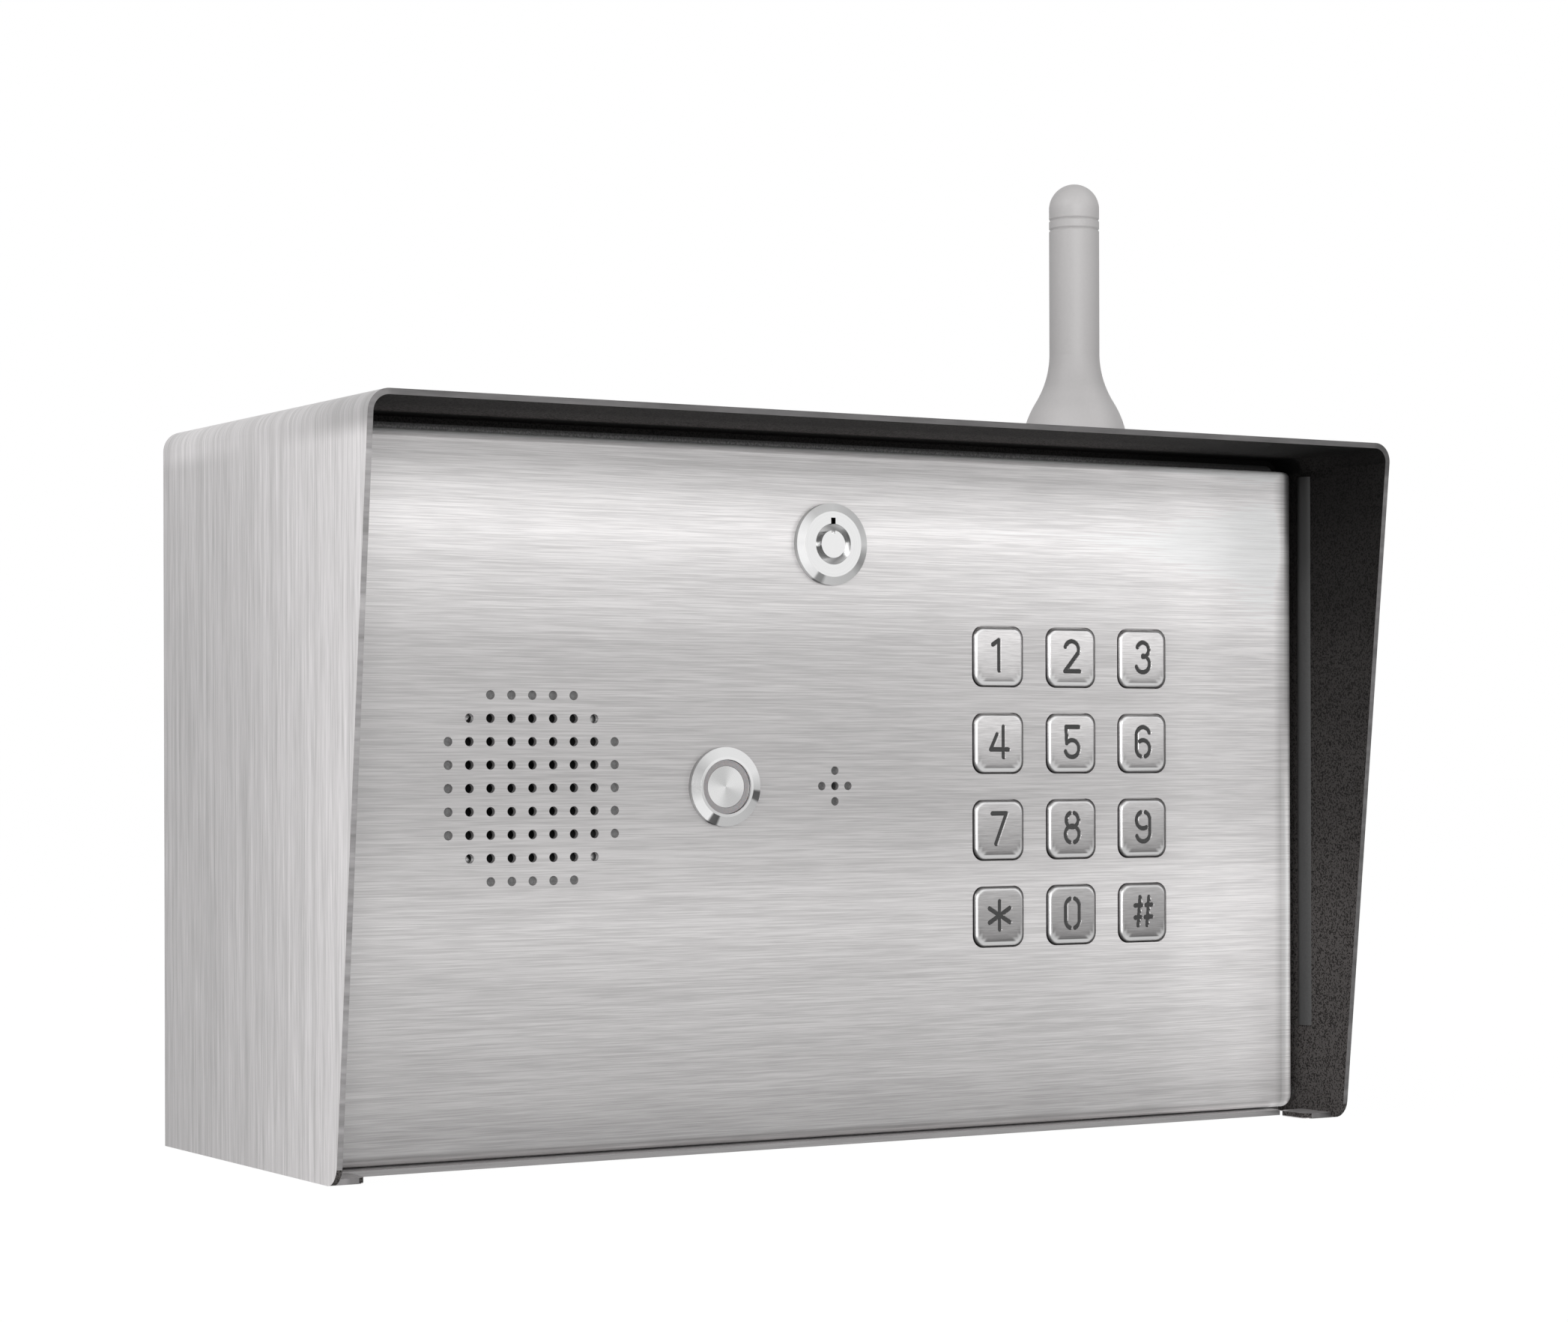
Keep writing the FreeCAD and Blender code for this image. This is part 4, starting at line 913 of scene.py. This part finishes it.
def key_surface(cuts, low, high, sizes):
    """Points, quads and end cap of one key.

    The face is a square grid whose depth is the engraving's depth times a step of the distance to the
    nearest cut. Loops round it follow, in order, the flat border, the rolled edge (a quarter circle),
    the side down to the flange and the flange itself, each a rounded square of its own half width.
    """
    cells = 96
    core = 5.6 * MM
    wall = 0.14 * MM
    lip = 0.25 * MM
    least_corner = 0.5 * MM
    flange_width = 1.8 * MM
    flange_depth = 1.2 * MM
    cap_depth = 2.4 * MM
    roll_steps = 8
    flange = (high[0] - low[0]) / 2
    half = flange - flange_width
    foot = half - sizes.roll
    middle = Vector(((low[0] + high[0]) / 2, 0, (low[2] + high[2]) / 2))
    front = low[1]
    seat = front + cap_depth
    base = seat + flange_depth
    row = np.linspace(-1, 1, cells + 1)
    u, v = np.meshgrid(row, row)
    distance = np.full(u.shape, 1.0)
    for cut in cuts:
        distance = np.minimum(distance, cut(u * core / MM, (v * core - sizes.lift) / MM) * MM)
    step = np.clip((sizes.stroke / 2 - distance) / wall + 0.5, 0, 1)
    step = step * step * (3 - 2 * step)
    face = np.stack([u * core, front + sizes.depth * step, v * core], axis=-1).reshape(-1, 3)
    number = np.arange((cells + 1) ** 2).reshape(cells + 1, cells + 1)
    corners = [number[:-1, :-1], number[:-1, 1:], number[1:, 1:], number[1:, :-1]]
    quads = np.stack(corners, axis=-1).reshape(-1, 4)
    border = np.concatenate([number[0, :-1], number[:-1, -1], number[-1, :0:-1], number[:0:-1, 0]])
    square = np.stack([u.ravel(), v.ravel()], axis=-1)[border]
    turn = np.radians(np.linspace(0, 90, roll_steps + 1))
    rings = [(foot - lip, 0.0), (foot, 0.0)]
    rings += [(foot + sizes.roll * math.sin(a), sizes.roll * (1 - math.cos(a))) for a in turn[1:]]
    rings += [(half, seat - front), (flange, seat - front), (flange, base - front)]
    loops = []
    for reach, drop in rings:
        corner = max(sizes.corner - (half - reach), least_corner)
        outline = rounded_square(square, reach, corner)
        loops.append(np.stack([outline[:, 0], np.full(len(square), front + drop), outline[:, 1]], axis=-1))
    points = np.concatenate([face] + loops)
    first = len(face)
    count = len(border)
    rows = [border] + [first + count * k + np.arange(count) for k in range(len(loops))]
    for inner, outer in zip(rows, rows[1:]):
        band = np.stack([inner, np.roll(inner, -1), np.roll(outer, -1), outer], axis=-1)
        quads = np.concatenate([quads, band])
    points[:, 0] += middle[0]
    points[:, 2] += middle[2]
    painted = np.zeros(len(points))
    painted[:first] = np.clip(step.ravel() * 2.2 - 1.0, 0, 1)
    # Painted shade and painted highlight of the rolled edge
    shade, painted_sheen = rim_shade(points[:, 0] - middle[0], points[:, 2] - middle[2], half, sizes.roll, lip)
    layers = {"painted": painted, "shade": shade, "painted_sheen": painted_sheen}
    return points, quads, [rows[-1].tolist()], layers, (middle, base)


def post(middle, start, end, radius, first):
    """A round stem along Y as a ring of points carried from start to end, with both ends closed."""
    sides = 32
    angle = np.linspace(0, 2 * math.pi, sides, endpoint=False)
    across = middle[0] + radius * np.cos(angle)
    upward = middle[2] + radius * np.sin(angle)
    ring = np.stack([across, np.zeros(sides), upward], axis=-1)
    rows = [ring + [0, start, 0], ring + [0, end, 0]]
    number = first + np.arange(sides)
    following = np.roll(number, -1)
    quads = np.stack([number, following, following + sides, number + sides], axis=-1)
    return np.concatenate(rows), quads, [number[::-1].tolist(), (number + sides).tolist()]


class INTERCOM_OT_keys(bpy.types.Operator):
    """Builds the twelve keys with rolled edges and engraved characters, in place of the plain ones"""

    bl_idname = "intercom.keys"
    bl_label = "Keys"

    def execute(self, context):
        sizes = context.scene.intercom_keys
        stem_radius = 3 * MM
        sharp_from = math.radians(38)
        material = key_finish()
        for name, cuts in characters().items():
            low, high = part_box(name)
            points, quads, caps, layers, (middle, base) = key_surface(cuts, low, high, sizes)
            stem, stem_quads, stem_caps = post(middle, base, high[1], stem_radius, len(points))
            none = np.zeros(len(stem))
            layers = {title: np.concatenate([values, none]) for title, values in layers.items()}
            piece = closed_mesh(
                name + "_engraved", np.concatenate([points, stem]), np.concatenate([quads, stem_quads]),
                caps + stem_caps, material, layers)
            piece.data.polygons.foreach_set("use_smooth", np.ones(len(piece.data.polygons), dtype=bool))
            piece.data.set_sharp_from_angle(angle=sharp_from)
            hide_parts(name)
            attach(piece, name + "_body")
        return {"FINISHED"}


def studio_camera(focal_pixels):
    """The photograph's own camera, solved from its straight edges.

    Its angles are in radians. Its offset is the speaker's middle as the camera sees it, right, down and away,
    and its shift puts the optical axis where the frame has it.
    """
    width, height = 2093, 1764
    axis_across, axis_down = 1106.5, 1012
    sensor = 36
    yaw, pitch, roll = -0.546, -0.002, -0.002
    turn = Matrix.Rotation(yaw, 3, "Y") @ Matrix.Rotation(pitch, 3, "X") @ Matrix.Rotation(roll, 3, "Z")
    upright = Matrix(((1, 0, 0), (0, 0, -1), (0, 1, 0)))
    to_camera = turn @ upright
    speaker = Vector((-93.65, -27.0, 96.67)) * MM
    offset = Vector((-76.029, 7.435, 924.111)) * MM
    flip = Matrix(((1, 0, 0), (0, -1, 0), (0, 0, -1)))
    rotation = (flip @ to_camera).transposed()
    data = bpy.data.cameras.new("studio_camera")
    data.sensor_width = sensor
    data.sensor_fit = "HORIZONTAL"
    data.lens = focal_pixels * sensor / width
    data.shift_x = (width / 2 - axis_across) / width
    data.shift_y = (axis_down - height / 2) / width
    data.clip_start = 0.01
    data.clip_end = 60
    camera = bpy.data.objects.new("studio_camera", data)
    camera.matrix_world = Matrix.Translation(speaker - to_camera.transposed() @ offset) @ rotation.to_4x4()
    bpy.context.scene.collection.objects.link(camera)
    bpy.context.scene.camera = camera


def area_light(name, place, target, size, power):
    """A soft rectangular light at place that faces target."""
    data = bpy.data.lights.new(name, "AREA")
    data.shape = "RECTANGLE"
    data.size, data.size_y = size
    data.energy = power
    lamp = bpy.data.objects.new(name, data)
    aim = (Vector(target) - Vector(place)).to_track_quat("-Z", "Y").to_matrix().to_4x4()
    lamp.matrix_world = Matrix.Translation(place) @ aim
    bpy.context.scene.collection.objects.link(lamp)


def rays(tree, first, *others):
    """One for rays of the kinds named, nought for the rest."""
    path = node(tree, "LightPath")
    seen = path.outputs[first]
    for kind in others:
        seen = node(tree, "Math", {0: seen, 1: path.outputs[kind]}, operation="MAXIMUM")
    return seen


def white_surround(level):
    """White to the camera, to reflections and through glass; an even softer light on everything else."""
    world = bpy.data.worlds.new("studio_world")
    world.use_nodes = True
    tree = world.node_tree
    tree.nodes.clear()
    seen = rays(tree, "Is Camera Ray", "Is Glossy Ray", "Is Transmission Ray")
    backdrop = node(tree, "Background", {"Color": grey(255), "Strength": 1.0})
    surround = node(tree, "Background", {"Color": grey(255), "Strength": level})
    mixed = node(tree, "MixShader", {0: seen, 1: surround, 2: backdrop})
    node(tree, "OutputWorld", {"Surface": mixed})
    bpy.context.scene.world = world


def floor_finish():
    """Pale matt paper that reads as white to the camera and keeps the soft shadow."""
    fibre_size = 2.5 * MM
    glow_share = 0.965
    material, tree = blank("studio_floor_paper")
    place = node(tree, "TexCoord").outputs["Object"]
    fibre = node(tree, "TexNoise", {"Vector": place, "Scale": 1 / fibre_size, "Detail": 2.0})
    paper = node(tree, "BsdfDiffuse", {"Color": tones(tree, fibre, grey(243), grey(247))})
    glow = node(tree, "Emission", {"Color": grey(255), "Strength": 1.02})
    seen = rays(tree, "Is Camera Ray", "Is Glossy Ray")
    share = node(tree, "Math", {0: seen, 1: glow_share}, operation="MULTIPLY")
    finish(tree, node(tree, "MixShader", {0: share, 1: paper, 2: glow}))
    return material


class INTERCOM_OT_stage(bpy.types.Operator):
    """Builds the pale floor, the soft lights, the white surround and the camera"""

    bl_idname = "intercom.stage"
    bl_label = "Stage"

    def execute(self, context):
        sizes = context.scene.intercom_stage
        half_side = 12.0
        gap = 0.02 * MM
        mesh = bpy.data.meshes.new("studio_floor")
        corners = np.array([[-1, -1, 0], [1, -1, 0], [1, 1, 0], [-1, 1, 0]]) * half_side
        mesh.from_pydata((corners - [0, 0, gap]).tolist(), [], [(0, 1, 2, 3)])
        mesh.materials.append(floor_finish())
        floor = bpy.data.objects.new("studio_floor", mesh)
        context.scene.collection.objects.link(floor)
        middle = (0, 0, 0.1)
        beside_camera = (-0.9, -2.3, 0.3)
        upper_left = (-2.0, -0.6, 1.2)
        area_light("front_light", beside_camera, middle, (1.4, 1.0), sizes.key_power)
        area_light("upper_left_light", upper_left, middle, (1.4, 1.4), sizes.side_power)
        white_surround(sizes.surround)
        studio_camera(sizes.focal_pixels)
        context.scene.view_settings.view_transform = "Standard"
        return {"FINISHED"}


OPERATORS = (
    INTERCOM_OT_case, INTERCOM_OT_door, INTERCOM_OT_audio, INTERCOM_OT_button, INTERCOM_OT_lock,
    INTERCOM_OT_keypad, INTERCOM_OT_electronics, INTERCOM_OT_antenna, INTERCOM_OT_keys, INTERCOM_OT_stage,
)


class INTERCOM_PT_sidebar(bpy.types.Panel):
    """Lists the settings and the steps"""

    bl_idname = "INTERCOM_PT_sidebar"
    bl_label = "Gooseneck intercom"
    bl_space_type = "VIEW_3D"
    bl_region_type = "UI"
    bl_category = "Intercom"

    def draw(self, context):
        for group in (
            context.scene.intercom_finish, context.scene.intercom_keys, context.scene.intercom_stage,
        ):
            box = self.layout.box()
            for name in group.__annotations__:
                box.prop(group, name)
        for operator in OPERATORS:
            self.layout.operator(operator.bl_idname)


CLASSES = (FinishSettings, KeySettings, StageSettings, *OPERATORS, INTERCOM_PT_sidebar)


def register():
    """Registers the classes and gives the scene their settings."""
    for kind in CLASSES:
        bpy.utils.register_class(kind)
    bpy.types.Scene.intercom_finish = PointerProperty(type=FinishSettings)
    bpy.types.Scene.intercom_keys = PointerProperty(type=KeySettings)
    bpy.types.Scene.intercom_stage = PointerProperty(type=StageSettings)


def unregister():
    """Takes the settings and the classes away again."""
    del bpy.types.Scene.intercom_stage
    del bpy.types.Scene.intercom_keys
    del bpy.types.Scene.intercom_finish
    for kind in reversed(CLASSES):
        bpy.utils.unregister_class(kind)


def main():
    """Runs every step in order."""
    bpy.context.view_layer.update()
    register()
    bpy.ops.intercom.case()
    bpy.ops.intercom.door()
    bpy.ops.intercom.audio()
    bpy.ops.intercom.button()
    bpy.ops.intercom.lock()
    bpy.ops.intercom.keypad()
    bpy.ops.intercom.electronics()
    bpy.ops.intercom.antenna()
    bpy.ops.intercom.keys()
    bpy.ops.intercom.stage()


if __name__ == "__main__":
    main()
